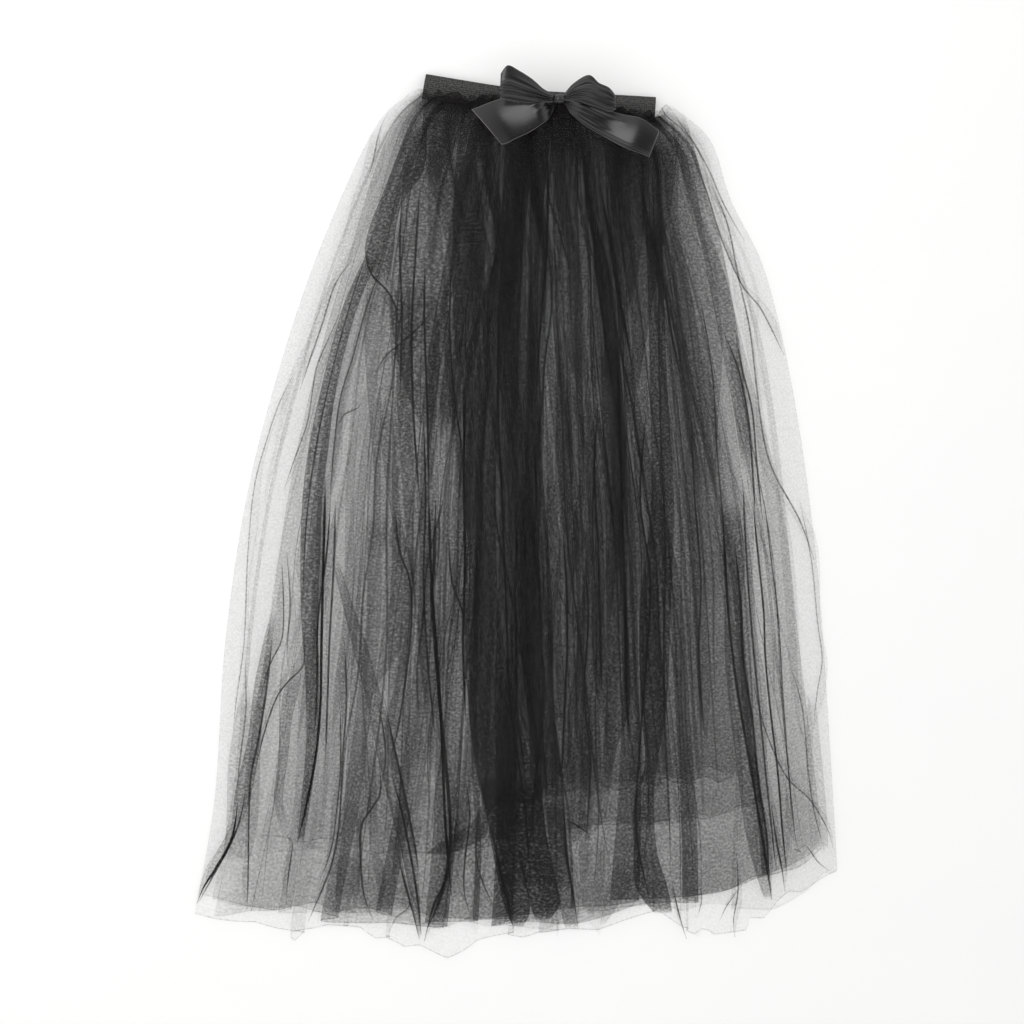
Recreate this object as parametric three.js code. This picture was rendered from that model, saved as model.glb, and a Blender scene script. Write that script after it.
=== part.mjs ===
// A long black tulle skirt, laid flat and face up: four gathered tulle layers, an elastic waistband and a satin bow.
// Millimetres. +Z is up off the table, +Y runs from the hem to the waist, and the table is at Z = 0.
// Each tulle layer is a tube that lies flat, so it has a back panel and a front panel that lie on each other.
// The panels nest: outer, second, third and inner back, then the waistband, then the fronts in the other order.
import * as THREE from "three";

const { lerp, clamp, smoothstep } = THREE.MathUtils;

// Driving sizes
const tulleWall = 1; // wall that stands for one layer of net
const clearance = 0.4; // free space between a panel and the next one
const elasticWall = 1.5;
const elasticHeight = 30;
const satinWall = 1;
const ribbonWidth = 50;

// The outline of the outer layer as it lies, as four curves in the plan.
const waistLine = [
  { x: -122, y: 500 },
  { x: -62, y: 491 },
  { x: -4, y: 489 },
  { x: 55, y: 489 },
  { x: 115, y: 479 },
  { x: 159, y: 470 },
  { x: 183, y: 484 },
];
const leftSide = [
  { x: -122, y: 500 },
  { x: -161, y: 466 },
  { x: -208, y: 372 },
  { x: -262, y: 230 },
  { x: -314, y: 41 },
  { x: -343, y: -147 },
  { x: -356, y: -336 },
  { x: -381, y: -478 },
];
const rightSide = [
  { x: 183, y: 484 },
  { x: 229, y: 444 },
  { x: 254, y: 372 },
  { x: 295, y: 285 },
  { x: 329, y: 136 },
  { x: 355, y: -53 },
  { x: 369, y: -242 },
  { x: 380, y: -427 },
];
const hemLine = [
  { x: -381, y: -478 },
  { x: -333, y: -487 },
  { x: -192, y: -490 },
  { x: -19, y: -499 },
  { x: 146, y: -489 },
  { x: 284, y: -475 },
  { x: 341, y: -452 },
  { x: 380, y: -427 },
];

// Rows across the skirt, as shares of the way from waist to hem at the left, middle and right.
const rowLines = [
  { left: 0, middle: 0, right: 0 },
  { left: 0.012, middle: 0.012, right: 0.012 },
  { left: 0.045, middle: 0.045, right: 0.045 },
  { left: 0.1, middle: 0.1, right: 0.1 },
  { left: 0.18, middle: 0.18, right: 0.18 },
  { left: 0.3, middle: 0.3, right: 0.3 },
  { left: 0.43, middle: 0.43, right: 0.43 },
  { left: 0.55, middle: 0.55, right: 0.55 },
  { left: 0.66, middle: 0.65, right: 0.65 },
  { left: 0.76, middle: 0.75, right: 0.75 },
  { left: 0.845, middle: 0.83, right: 0.825 },
  { left: 0.905, middle: 0.89, right: 0.865 },
  { left: 0.945, middle: 0.95, right: 0.95 },
  { left: 1, middle: 1, right: 1 },
];

// Each layer's side edges, as shares of the way across the outer layer, and the row where its hem lies.
const layers = {
  outer: {
    hemRow: 13,
    edges: [
      { down: 0, left: 0, right: 1 },
      { down: 1, left: 0, right: 1 },
    ],
  },
  second: {
    hemRow: 12,
    edges: [
      { down: 0, left: 0.045, right: 0.945 },
      { down: 0.24, left: 0.07, right: 0.91 },
      { down: 0.6, left: 0.073, right: 0.95 },
      { down: 1, left: 0.03, right: 0.975 },
    ],
  },
  third: {
    hemRow: 11,
    edges: [
      { down: 0, left: 0.07, right: 0.925 },
      { down: 0.24, left: 0.11, right: 0.87 },
      { down: 0.6, left: 0.12, right: 0.88 },
      { down: 1, left: 0.075, right: 0.89 },
    ],
  },
  inner: {
    hemRow: 10,
    edges: [
      { down: 0, left: 0.12, right: 0.9 },
      { down: 0.24, left: 0.3, right: 0.825 },
      { down: 0.6, left: 0.4, right: 0.83 },
      { down: 1, left: 0.44, right: 0.84 },
    ],
  },
};
const aroundOf = { second: "outer", third: "second", inner: "third" };

// The folds of the outer layer: where each ridge starts at the waist and ends at the hem, as shares of the
// way across, how high it stands beside the highest, and how far the hem hangs below the hem line there.
const outerFolds = [
  { waist: 0.03, hem: 0.036, height: 0.55, drop: 0 },
  { waist: 0.075, hem: 0.085, height: 0.7, drop: 0 },
  { waist: 0.12, hem: 0.161, height: 0.6, drop: 12 },
  { waist: 0.17, hem: 0.215, height: 0.95, drop: 2 },
  { waist: 0.215, hem: 0.267, height: 0.7, drop: 3 },
  { waist: 0.255, hem: 0.329, height: 0.85, drop: 15 },
  { waist: 0.3, hem: 0.388, height: 1, drop: 26 },
  { waist: 0.34, hem: 0.43, height: 0.75, drop: 10 },
  { waist: 0.385, hem: 0.471, height: 0.9, drop: 1 },
  { waist: 0.43, hem: 0.512, height: 0.7, drop: 3 },
  { waist: 0.48, hem: 0.56, height: 1, drop: 0 },
  { waist: 0.53, hem: 0.602, height: 0.65, drop: 4 },
  { waist: 0.575, hem: 0.646, height: 0.85, drop: 1 },
  { waist: 0.62, hem: 0.688, height: 0.6, drop: -8 },
  { waist: 0.665, hem: 0.73, height: 0.9, drop: 4 },
  { waist: 0.715, hem: 0.77, height: 0.7, drop: 17 },
  { waist: 0.76, hem: 0.812, height: 0.95, drop: 19 },
  { waist: 0.81, hem: 0.85, height: 0.6, drop: 12 },
  { waist: 0.855, hem: 0.885, height: 0.8, drop: 4 },
  { waist: 0.905, hem: 0.925, height: 0.6, drop: 0 },
  { waist: 0.968, hem: 0.968, height: 0.65, drop: 0 },
];

// The panels from the table up. swell is the height of the tallest fold, steps the columns from valley to ridge.
const panels = [
  { name: "outer_back", layer: "outer", folds: outerFolds, swell: 0, steps: 1, hemReach: 1 },
  { name: "second_back", layer: "second", folds: unevenFolds(8, 0.4), swell: 0.8, steps: 1, hemReach: 1 },
  { name: "third_back", layer: "third", folds: unevenFolds(7, 1.9), swell: 0.8, steps: 1, hemReach: 1 },
  { name: "inner_back", layer: "inner", folds: unevenFolds(4, 3.1), swell: 0.8, steps: 1, hemReach: 1 },
  { name: "inner_front", layer: "inner", folds: unevenFolds(5, 4.6), swell: 2, steps: 2, hemReach: 0.985 },
  { name: "third_front", layer: "third", folds: unevenFolds(8, 5.7), swell: 2.6, steps: 2, hemReach: 0.985 },
  { name: "second_front", layer: "second", folds: unevenFolds(11, 0.9), swell: 3.6, steps: 2, hemReach: 0.985 },
  { name: "outer_front", layer: "outer", folds: outerFolds, swell: 6, steps: 2, hemReach: 0.98 },
];
const bandPlace = 4; // the waistband lies under the panel with this number

// Folds of an inner layer, unevenly spaced and unevenly high.
function unevenFolds(count, phase) {
  return Array.from({ length: count }, (_, i) => {
    const place = (i + 0.5) / count;
    const shift = 0.22 / count;
    return {
      waist: place + shift * Math.sin(2.4 * i + phase),
      hem: place + shift * Math.sin(1.7 * i + 2 * phase),
      height: 0.8 + 0.2 * Math.sin(3.1 * i + phase),
      drop: 5 * Math.sin(2.1 * i + phase),
    };
  });
}

// The plan: a patch between the four curves of the outline
const curveThrough = (points) => new THREE.SplineCurve(points.map(({ x, y }) => new THREE.Vector2(x, y)));
const waistCurve = curveThrough(waistLine);
const leftCurve = curveThrough(leftSide);
const rightCurve = curveThrough(rightSide);
const hemCurve = curveThrough(hemLine);
const skirtLength = (leftCurve.getLength() + rightCurve.getLength()) / 2;

function planAt(across, down) {
  const share = clamp(down, 0, 1);
  const top = waistCurve.getPointAt(across);
  const bottom = hemCurve.getPointAt(across);
  const left = leftCurve.getPointAt(share);
  const right = rightCurve.getPointAt(share);
  const mixed = (axis) =>
    lerp(top[axis], bottom[axis], share) +
    lerp(left[axis], right[axis], across) -
    lerp(
      lerp(waistCurve.getPoint(0)[axis], waistCurve.getPoint(1)[axis], across),
      lerp(hemCurve.getPoint(0)[axis], hemCurve.getPoint(1)[axis], across),
      share,
    );
  const past = (down - share) * skirtLength; // past the hem line, straight on down
  return new THREE.Vector2(mixed("x"), mixed("y") - past);
}

// How far down a row lies, on a curve through its left, middle and right.
function rowAt(row, across) {
  const { left, middle, right } = rowLines[row];
  const bow = 4 * middle - 2 * (left + right);
  return lerp(left, right, across) + bow * across * (1 - across);
}

function edgesAt(layer, down) {
  const rows = layers[layer].edges;
  const next = Math.max(1, rows.findIndex((row) => row.down >= Math.min(down, 1)));
  const [above, below] = [rows[next - 1], rows[next]];
  const share = smoothstep(down, above.down, below.down);
  return { left: lerp(above.left, below.left, share), right: lerp(above.right, below.right, share) };
}

// The stack: how high each panel lies on those beneath it
const gatherShare = 0.55; // fold height at the waist, beside the full height further down
const fullFoldsFrom = 0.3;
const swellAt = (panel, down) => panel.swell * lerp(gatherShare, 1, smoothstep(down, 0, fullFoldsFrom));
const slabOf = (panel, down) => tulleWall + clearance + swellAt(panel, down);

// 1 where a layer lies under the ones above it. Past its side edges they come down before the next layer's edge.
function presence(layer, across, row, down) {
  if (row > layers[layer].hemRow) return 0;
  if (!(layer in aroundOf)) return 1;
  const own = edgesAt(layer, down);
  const next = edgesAt(aroundOf[layer], down);
  const stillFull = 0.3;
  const outLeft = (own.left - across) / (own.left - next.left);
  const outRight = (across - own.right) / (next.right - own.right);
  return 1 - smoothstep(Math.max(outLeft, outRight), stillFull, 1);
}

const bandRows = [1, 1, 0.9, 0.3]; // how much of the waistband's thickness lies under each row from the top
const bandEnd = 0.03; // the share of the way across over which the fronts rise from the table to the band
const bandSlab = 3 * clearance + 2 * elasticWall;

// The top of the back panels at the waist, where the band lies on them.
const bandBase = panels.slice(0, bandPlace).reduce((total, panel) => total + slabOf(panel, 0), 0);

function stackHeight(place, across, row, down) {
  const slabs = panels.slice(0, place).map((panel) => slabOf(panel, down) * presence(panel.layer, across, row, down));
  const sum = (heights) => heights.reduce((total, height) => total + height, 0);
  if (place < bandPlace) return sum(slabs);
  const bandShare = (bandRows[row] ?? 0) * Math.min(1, across / bandEnd, (1 - across) / bandEnd);
  const backs = Math.max(sum(slabs.slice(0, bandPlace)), bandBase * bandShare);
  return backs + bandSlab * bandShare + sum(slabs.slice(bandPlace));
}

// Columns across a panel at one row: valley, ridge, valley, and so on, with steps between them.
function columnsAt(panel, down) {
  const wander = 0.006;
  const ridges = panel.folds.map((fold, i) => ({
    at: lerp(fold.waist, fold.hem, smoothstep(down, 0, 0.85)) + wander * Math.sin(7 * down + 2.6 * i) * Math.min(1, 4 * down),
    high: fold.height,
    drop: fold.drop,
  }));
  const turns = [{ at: 0, high: 0, drop: 0 }];
  ridges.forEach((ridge, i) => {
    const next = ridges[i + 1] ?? { at: 2 - ridge.at, drop: 0 };
    turns.push(ridge, { at: (ridge.at + next.at) / 2, high: 0, drop: (ridge.drop + next.drop) / 2 });
  });
  const columns = [];
  for (let i = 0; i + 1 < turns.length; i++)
    for (let step = 0; step < panel.steps; step++) {
      const share = step / panel.steps;
      const eased = (1 - Math.cos(Math.PI * share)) / 2;
      columns.push({
        at: lerp(turns[i].at, turns[i + 1].at, share),
        high: lerp(turns[i].high, turns[i + 1].high, eased),
        drop: lerp(turns[i].drop, turns[i + 1].drop, share),
      });
    }
  columns.push(turns.at(-1));
  return columns;
}

// A wall on both sides of a grid of points, closed at its rims. A ring has its last column joined to its first.
function wallOn(grid, thickness, ring = false) {
  const rows = grid.length;
  const columns = grid[0].length;
  const wrap = (c) => (ring ? (c + columns) % columns : clamp(c, 0, columns - 1));
  const at = (r, c) => grid[clamp(r, 0, rows - 1)][wrap(c)];
  const positions = [];
  for (const side of [0.5, -0.5])
    for (let r = 0; r < rows; r++)
      for (let c = 0; c < columns; c++) {
        const down = new THREE.Vector3().subVectors(at(r + 1, c), at(r - 1, c));
        const across = new THREE.Vector3().subVectors(at(r, c + 1), at(r, c - 1));
        const out = down.cross(across).normalize().multiplyScalar(side * thickness);
        positions.push(...out.add(at(r, c)));
      }
  const front = (r, c) => r * columns + wrap(c);
  const back = (r, c) => front(r, c) + rows * columns;
  const index = [];
  const quad = (a, b, c, d) => index.push(a, b, c, a, c, d);
  const lastColumn = ring ? columns : columns - 1;
  for (let c = 0; c < lastColumn; c++) {
    for (let r = 0; r + 1 < rows; r++) {
      quad(front(r, c), front(r + 1, c), front(r + 1, c + 1), front(r, c + 1));
      quad(back(r, c), back(r, c + 1), back(r + 1, c + 1), back(r + 1, c));
    }
    quad(front(0, c), front(0, c + 1), back(0, c + 1), back(0, c));
    quad(front(rows - 1, c + 1), front(rows - 1, c), back(rows - 1, c), back(rows - 1, c + 1));
  }
  for (let r = 0; !ring && r + 1 < rows; r++) {
    quad(front(r, 0), back(r, 0), back(r + 1, 0), front(r + 1, 0));
    quad(front(r + 1, lastColumn), back(r + 1, lastColumn), back(r, lastColumn), front(r, lastColumn));
  }
  const geometry = new THREE.BufferGeometry();
  geometry.setAttribute("position", new THREE.Float32BufferAttribute(positions, 3));
  geometry.setIndex(index);
  geometry.computeVertexNormals();
  return geometry;
}

// A grid of points from a function of two shares, one down the rows and one across the columns.
function gridOf(rows, columns, pointAt) {
  return Array.from({ length: rows + 1 }, (_, r) =>
    Array.from({ length: columns + 1 }, (_, c) => pointAt(r / rows, c / columns)),
  );
}

// Tulle panels
function panelGrid(panel, place) {
  const { hemRow } = layers[panel.layer];
  const grid = [];
  for (let row = 0; row <= hemRow; row++) {
    if (panel.swell === 0 && row % 2 === 1 && row < hemRow) continue; // flat, so it needs fewer rows
    const rowShare = row / hemRow;
    const middle = rowAt(row, 0.5);
    const { left, right } = edgesAt(panel.layer, middle);
    grid.push(
      columnsAt(panel, middle).map(({ at, high, drop }) => {
        const across = lerp(left, right, clamp(at, 0, 1));
        const down = rowAt(row, across);
        const short = row === hemRow ? panel.hemReach : 1;
        const hang = (drop / skirtLength) * smoothstep(rowShare, 0.9, 1);
        const { x, y } = planAt(across, down * short + hang);
        const base = stackHeight(place, across, row, down);
        return new THREE.Vector3(x, y, base + tulleWall / 2 + high * swellAt(panel, down));
      }),
    );
  }
  return grid;
}

// Waistband: an elastic loop that lies flat, its lower part between the back and front panels
const bandTop = [
  { x: -105, y: 521 },
  { x: -19, y: 507 },
  { x: 35, y: 501 },
  { x: 113, y: 497 },
  { x: 164, y: 494 },
];
const bandLift = bandBase + bandSlab / 2; // the band's middle above the table
// Lines down the band: how far below its top edge, and how high, where 1 is level with the gathers.
const bandLines = [
  { fall: 0, lift: 0.35 },
  { fall: 5, lift: 0.68 },
  { fall: 10, lift: 1 },
  { fall: elasticHeight, lift: 1 },
];

function waistbandGrid() {
  const top = curveThrough(bandTop);
  const plySteps = 12;
  const endSteps = 4;
  const halfGap = (elasticWall + clearance) / 2; // from the loop's middle to the middle of a ply
  const loop = [];
  for (let i = 0; i < plySteps; i++) loop.push({ along: i / plySteps, out: 0, up: halfGap });
  for (let i = 0; i < endSteps; i++) {
    const angle = (Math.PI * i) / endSteps;
    loop.push({ along: 1, out: halfGap * Math.sin(angle), up: halfGap * Math.cos(angle) });
  }
  for (let i = 0; i < plySteps; i++) loop.push({ along: 1 - i / plySteps, out: 0, up: -halfGap });
  for (let i = 0; i < endSteps; i++) {
    const angle = (Math.PI * i) / endSteps;
    loop.push({ along: 0, out: -halfGap * Math.sin(angle), up: -halfGap * Math.cos(angle) });
  }
  const lowest = halfGap + elasticWall / 2 + clearance;
  return bandLines.map(({ fall, lift }) =>
    loop.map(({ along, out, up }) => {
      const edge = top.getPointAt(along);
      const slope = top.getTangentAt(along);
      const z = lerp(lowest, bandLift, lift) + up;
      return new THREE.Vector3(edge.x + slope.x * out + slope.y * fall, edge.y + slope.y * out - slope.x * fall, z);
    }),
  );
}

// Bow: a knot over two flat loops and two tails, all of one satin ribbon
const bowRest = stackHeight(panels.length, 0.57, 0, 0) + 0.1; // just above the folds of the front
const knot = { x: 49, y: 484, halfWide: 7, halfTall: 7.5, halfThick: 6 };
const knotSink = 1; // how far the round knot comes down between the ends of the tails
const knotHeight = bowRest + satinWall + clearance + knot.halfThick - knotSink;
const knotHalf = 7; // half the ribbon's width where the knot gathers it

// turn is the way a piece points in the plan, in degrees from +X. skew slants its outer end.
const bowTails = [
  { name: "bow_tail_left", turn: 199, length: 88, halfEnd: ribbonWidth / 2 + 1, skew: -0.17, curl: 2.2 },
  { name: "bow_tail_right", turn: 336.5, length: 122, halfEnd: 17, skew: 0.05, curl: 4.5 },
];
const bowLoops = [
  { name: "bow_loop_left", turn: 160, length: 66, halfEnd: 20, skew: 0.1, puff: 7 },
  { name: "bow_loop_right", turn: 15, length: 60, halfEnd: 21, skew: 0.16, puff: 7 },
];

// A point of a piece of ribbon: out from the knot, to one side (-1 to 1), and up.
function fromKnot({ turn, skew }, out, side, half, z) {
  const angle = THREE.MathUtils.degToRad(turn);
  const reach = out * (1 + skew * side);
  return new THREE.Vector3(
    knot.x + Math.cos(angle) * reach - Math.sin(angle) * side * half,
    knot.y + Math.sin(angle) * reach + Math.cos(angle) * side * half,
    z,
  );
}

function tailGrid(tail) {
  const start = 4; // both tails start under the knot
  return gridOf(10, 8, (share, acrossShare) => {
    const side = 1 - 2 * acrossShare;
    const out = lerp(start, tail.length, share);
    const half = lerp(knotHalf, tail.halfEnd, smoothstep(share, 0.08, 0.5));
    const opened = smoothstep(share, 0.12, 0.4);
    const arch = tail.curl * (1 - side * side) * opened;
    const ripple = 1.1 * (1 + Math.sin(9 * share + 2 * side)) * opened;
    return fromKnot(tail, out, side, half, bowRest + satinWall / 2 + arch + ripple);
  });
}

function loopGrid(loop) {
  const start = knot.halfWide + clearance;
  const plyGap = satinWall / 2 + clearance;
  const pleat = 0.9;
  const rise = 0.13; // the loops stand off the skirt towards their ends
  return gridOf(16, 8, (share, acrossShare) => {
    const side = 1 - 2 * acrossShare;
    const turn = Math.PI * share;
    const outShare = Math.sin(turn) ** 0.9;
    const out = start + (loop.length - start) * outShare;
    const half = lerp(knotHalf, loop.halfEnd, smoothstep(outShare, 0, 0.95));
    const ply = -Math.cos(turn) * (plyGap + loop.puff * Math.sin(turn) ** 0.8);
    const pleats = pleat * Math.cos(3 * Math.PI * side) * Math.sin(turn);
    return fromKnot(loop, out, side, half, knotHeight + rise * (out - start) + ply + pleats);
  });
}

function knotGeometry() {
  const round = new THREE.SphereGeometry(1, 12, 8);
  return round.scale(knot.halfWide, knot.halfTall, knot.halfThick);
}

// Materials
const tulle = new THREE.MeshStandardMaterial({
  color: 0x1d1c1d,
  roughness: 0.75,
  metalness: 0,
  transparent: true,
  opacity: 0.5,
});
const elastic = new THREE.MeshStandardMaterial({ color: 0x222122, roughness: 0.85, metalness: 0 });
const satin = new THREE.MeshStandardMaterial({ color: 0x1a1919, roughness: 0.35, metalness: 0 });

function meshOf(name, geometry, material) {
  const mesh = new THREE.Mesh(geometry, material);
  mesh.name = name;
  return mesh;
}

const skirt = new THREE.Group();
panels.forEach((panel, place) => skirt.add(meshOf(panel.name, wallOn(panelGrid(panel, place), tulleWall), tulle)));
skirt.add(meshOf("waistband", wallOn(waistbandGrid(), elasticWall, true), elastic));

const bow = new THREE.Group();
for (const tail of bowTails) bow.add(meshOf(tail.name, wallOn(tailGrid(tail), satinWall), satin));
for (const loop of bowLoops) bow.add(meshOf(loop.name, wallOn(loopGrid(loop), satinWall), satin));
const knotMesh = meshOf("bow_knot", knotGeometry(), satin);
knotMesh.position.set(knot.x, knot.y, knotHeight);
bow.add(knotMesh);
skirt.add(bow);

export default skirt;
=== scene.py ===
# %% [markdown]
# # A long black tulle skirt, laid flat
# Four layers of soft net are gathered onto a waist elastic, and a satin ribbon is tied in a bow at the
# front. Nothing here is cut by a camera: each layer is one tube of cloth that lies flat, so light passes
# through a front and a back of every layer. That stack of thin sheets is what makes the skirt dark in
# the middle and nearly clear along its sides.

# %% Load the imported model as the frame
import math

import bpy
import numpy as np
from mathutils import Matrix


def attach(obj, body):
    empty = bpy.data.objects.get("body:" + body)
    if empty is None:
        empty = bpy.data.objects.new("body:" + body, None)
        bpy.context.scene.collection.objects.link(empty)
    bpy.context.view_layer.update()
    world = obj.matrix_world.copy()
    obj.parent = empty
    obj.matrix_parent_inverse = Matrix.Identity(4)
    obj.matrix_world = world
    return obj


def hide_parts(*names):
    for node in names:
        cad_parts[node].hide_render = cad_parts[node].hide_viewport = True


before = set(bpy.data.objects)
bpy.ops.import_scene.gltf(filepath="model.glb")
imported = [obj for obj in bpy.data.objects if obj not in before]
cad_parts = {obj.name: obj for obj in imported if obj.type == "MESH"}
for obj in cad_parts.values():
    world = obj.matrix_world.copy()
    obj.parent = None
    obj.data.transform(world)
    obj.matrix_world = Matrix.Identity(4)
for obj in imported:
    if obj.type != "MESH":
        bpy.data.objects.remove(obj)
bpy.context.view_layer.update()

MM = 0.001

# %% [markdown]
# ## Camera, floor and light
# The skirt is seen from straight above, and its sides hardly lean, so the lens is a long one from almost
# three metres up. The camera comes first, because it fixes what is worth modelling. The light is a pale
# room with one large soft lamp, which is what a net needs: hard light would draw every fold as a shadow.
# The room's walls are brighter than its ceiling, so that satin stays black where it faces up and only
# shines where it tilts.

# %% Camera straight above
VIEW_MM = 1208.0  # what the picture shows from edge to edge, on the skirt
LENS_MM = 85.0
SENSOR_MM = 36.0
MIDDLE_MM = (-4.7, 3.5)  # what the lens looks straight down at, seen from the origin
CLOTH_MM = 12.0  # the distance is measured from about the middle of the cloth's height

camera_data = bpy.data.cameras.new("photo_camera")
camera_data.lens = LENS_MM
camera_data.sensor_width = SENSOR_MM
camera = bpy.data.objects.new("photo_camera", camera_data)
bpy.context.collection.objects.link(camera)
bpy.context.scene.camera = camera
camera_height = VIEW_MM * MM * LENS_MM / SENSOR_MM
camera.location = (MIDDLE_MM[0] * MM, MIDDLE_MM[1] * MM, camera_height + CLOTH_MM * MM)
print("camera height in metres:", round(camera_height, 3))


# %% Colours, and one function that adds a node
def linear(hex_code, alpha=1.0):
    """An sRGB hex colour as the linear values that Blender works with."""
    channels = [int(hex_code[i : i + 2], 16) / 255 for i in (0, 2, 4)]
    curved = [c / 12.92 if c <= 0.04045 else ((c + 0.055) / 1.055) ** 2.4 for c in channels]
    return (*curved, alpha)


def add_node(tree, kind, settings=None, **links):
    """Adds a node. settings are its properties, links its inputs: a value, or another node's socket."""
    node = tree.nodes.new(kind)
    for name, value in (settings or {}).items():
        setattr(node, name, value)
    for name, value in links.items():
        place = int(name[1:]) if name[0] == "i" and name[1:].isdigit() else name.replace("_", " ")
        if isinstance(value, bpy.types.NodeSocket):
            tree.links.new(value, node.inputs[place])
        else:
            node.inputs[place].default_value = value
    return node


def new_material(name):
    """An empty node material, and its tree."""
    material = bpy.data.materials.new(name)
    material.use_nodes = True
    material.node_tree.nodes.clear()
    return material, material.node_tree


def calculate(tree, operation, *values):
    """The result of a maths node on numbers or sockets."""
    inputs = {f"i{k}": value for k, value in enumerate(values)}
    return add_node(tree, "ShaderNodeMath", {"operation": operation}, **inputs).outputs[0]


# %% Floor of pale matt board
floor_material, tree = new_material("pale matt board")
grain = add_node(tree, "ShaderNodeTexNoise", Scale=40.0, Detail=4.0)
tint = add_node(tree, "ShaderNodeMix", {"data_type": "RGBA"}, i0=grain.outputs["Fac"],
                i6=linear("FBFBFB"), i7=linear("FEFEFD"))
board = add_node(tree, "ShaderNodeBsdfPrincipled", Base_Color=tint.outputs[2], Roughness=0.9)
add_node(tree, "ShaderNodeOutputMaterial", Surface=board.outputs[0])

FLOOR_SIZE = 8.0
FLOOR_GAP_MM = 0.3  # so that the cloth and the board never share a face
bpy.ops.mesh.primitive_plane_add(size=FLOOR_SIZE, location=(0, 0, -FLOOR_GAP_MM * MM))
floor = bpy.context.object
floor.name = "floor"
floor.data.materials.append(floor_material)

# %% Room light and one soft lamp
WALL_LIGHT, CEILING_LIGHT = 1.2, 0.3
LAMP_SIZE = 1.6
LAMP_WATTS = 26.0
LAMP_PLACE = (-1.3, 1.2, 2.2)
LAMP_TILT = (math.radians(-28), math.radians(-30), 0.0)

scene = bpy.context.scene
world = bpy.data.worlds.new("pale room")
scene.world = world
world.use_nodes = True
room = world.node_tree.nodes["Background"]
room.inputs["Color"].default_value = linear("FFFFFF")
heading = add_node(world.node_tree, "ShaderNodeTexCoord")
upward = add_node(world.node_tree, "ShaderNodeSeparateXYZ", Vector=heading.outputs["Generated"])
dimmer = add_node(world.node_tree, "ShaderNodeMapRange", Value=upward.outputs["Z"],
                  From_Min=0.55, From_Max=0.95, To_Min=WALL_LIGHT, To_Max=CEILING_LIGHT)
world.node_tree.links.new(dimmer.outputs[0], room.inputs["Strength"])

lamp_data = bpy.data.lights.new("soft lamp", "AREA")
lamp_data.shape = "SQUARE"
lamp_data.size = LAMP_SIZE
lamp_data.energy = LAMP_WATTS
lamp = bpy.data.objects.new("soft lamp", lamp_data)
bpy.context.collection.objects.link(lamp)
lamp.location = LAMP_PLACE
lamp.rotation_euler = LAMP_TILT

scene.view_settings.view_transform = "Standard"
scene.cycles.transparent_max_bounces = 64
scene.cycles.min_transparent_bounces = 2
scene.cycles.diffuse_bounces = 0
scene.cycles.glossy_bounces = 1
scene.cycles.debug_use_spatial_splits = True  # faster through long thin faces that cross each other
world.cycles.sampling_method = "NONE"  # the room is so even that light found by chance is clean enough
lamp_data.use_shadow = False  # a real lamp this large casts none that would show through so many nets

# %% [markdown]
# ## The flat shape of the skirt
# A pattern cutter would draw four edges: the waist, two sides and the hem. Everything else on the skirt
# lies between them, so one function turns "how far across" and "how far down" into a place on the table.
# The four curves repeat the named points of the part's source, in millimetres.

# %% The four edges and the place between them
WAIST_LINE = [(-122, 500), (-62, 491), (-4, 489), (55, 489), (115, 479), (159, 470), (183, 484)]
LEFT_SIDE = [(-122, 500), (-161, 466), (-208, 372), (-262, 230), (-314, 41), (-343, -147),
             (-356, -336), (-381, -478)]
RIGHT_SIDE = [(183, 484), (229, 444), (254, 372), (295, 285), (329, 136), (355, -53),
              (369, -242), (380, -427)]
HEM_LINE = [(-381, -478), (-333, -487), (-192, -490), (-19, -499), (146, -489), (284, -475),
            (341, -452), (380, -427)]


def smooth_curve(points, samples=40):
    """A smooth curve through the points, as (share of its length, x, y) columns."""
    points = np.array(points, float)
    last = len(points) - 1
    drawn = []
    for i in range(last):
        before, start = points[max(i - 1, 0)], points[i]
        end, after = points[i + 1], points[min(i + 2, last)]
        t = np.linspace(0, 1, samples, endpoint=False)[:, None]
        leave, arrive = (end - before) / 2, (after - start) / 2
        drawn.append(start + leave * t + (3 * (end - start) - 2 * leave - arrive) * t**2
                     + (2 * (start - end) + leave + arrive) * t**3)
    drawn = np.vstack([*drawn, points[-1:]])
    steps = np.hypot(*np.diff(drawn, axis=0).T)
    length = np.concatenate([[0], np.cumsum(steps)])
    return np.column_stack([length / length[-1], drawn]), length[-1]


def on_curve(table, share):
    return np.stack([np.interp(share, table[:, 0], table[:, k]) for k in (1, 2)], axis=-1)


waist_curve, waist_mm = smooth_curve(WAIST_LINE)
left_curve, left_mm = smooth_curve(LEFT_SIDE)
right_curve, right_mm = smooth_curve(RIGHT_SIDE)
hem_curve, hem_mm = smooth_curve(HEM_LINE)
SKIRT_MM = (left_mm + right_mm) / 2


def mix(a, b, share):
    return a + (b - a) * share


def ease(value, low, high):
    """0 below low, 1 above high, and a soft S between them."""
    t = np.clip((value - low) / (high - low), 0, 1)
    return t * t * (3 - 2 * t)


def plan_at(across, down):
    """The place on the table, in millimetres. Past the hem line the cloth runs straight on."""
    share = np.clip(down, 0, 1)
    a, d = across[..., None], share[..., None]
    corners = mix(mix(np.array(WAIST_LINE[0]), np.array(WAIST_LINE[-1]), a),
                  mix(np.array(HEM_LINE[0]), np.array(HEM_LINE[-1]), a), d)
    place = (mix(on_curve(waist_curve, across), on_curve(hem_curve, across), d)
             + mix(on_curve(left_curve, share), on_curve(right_curve, share), a) - corners)
    place[..., 1] -= (down - share) * SKIRT_MM
    return place


print("edges in mm: waist", round(waist_mm), "left", round(left_mm), "right", round(right_mm),
      "hem", round(hem_mm))

# %% [markdown]
# ## How the layers lie on each other
# From the table up there are the four backs, then the waistband, then the four fronts. Each panel gets a
# slab of height for its net and its folds, and rests on the slabs below it. Where an inner layer stops,
# at its sides or its hem, its slab shrinks to nothing and the outer layers come down.

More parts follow.
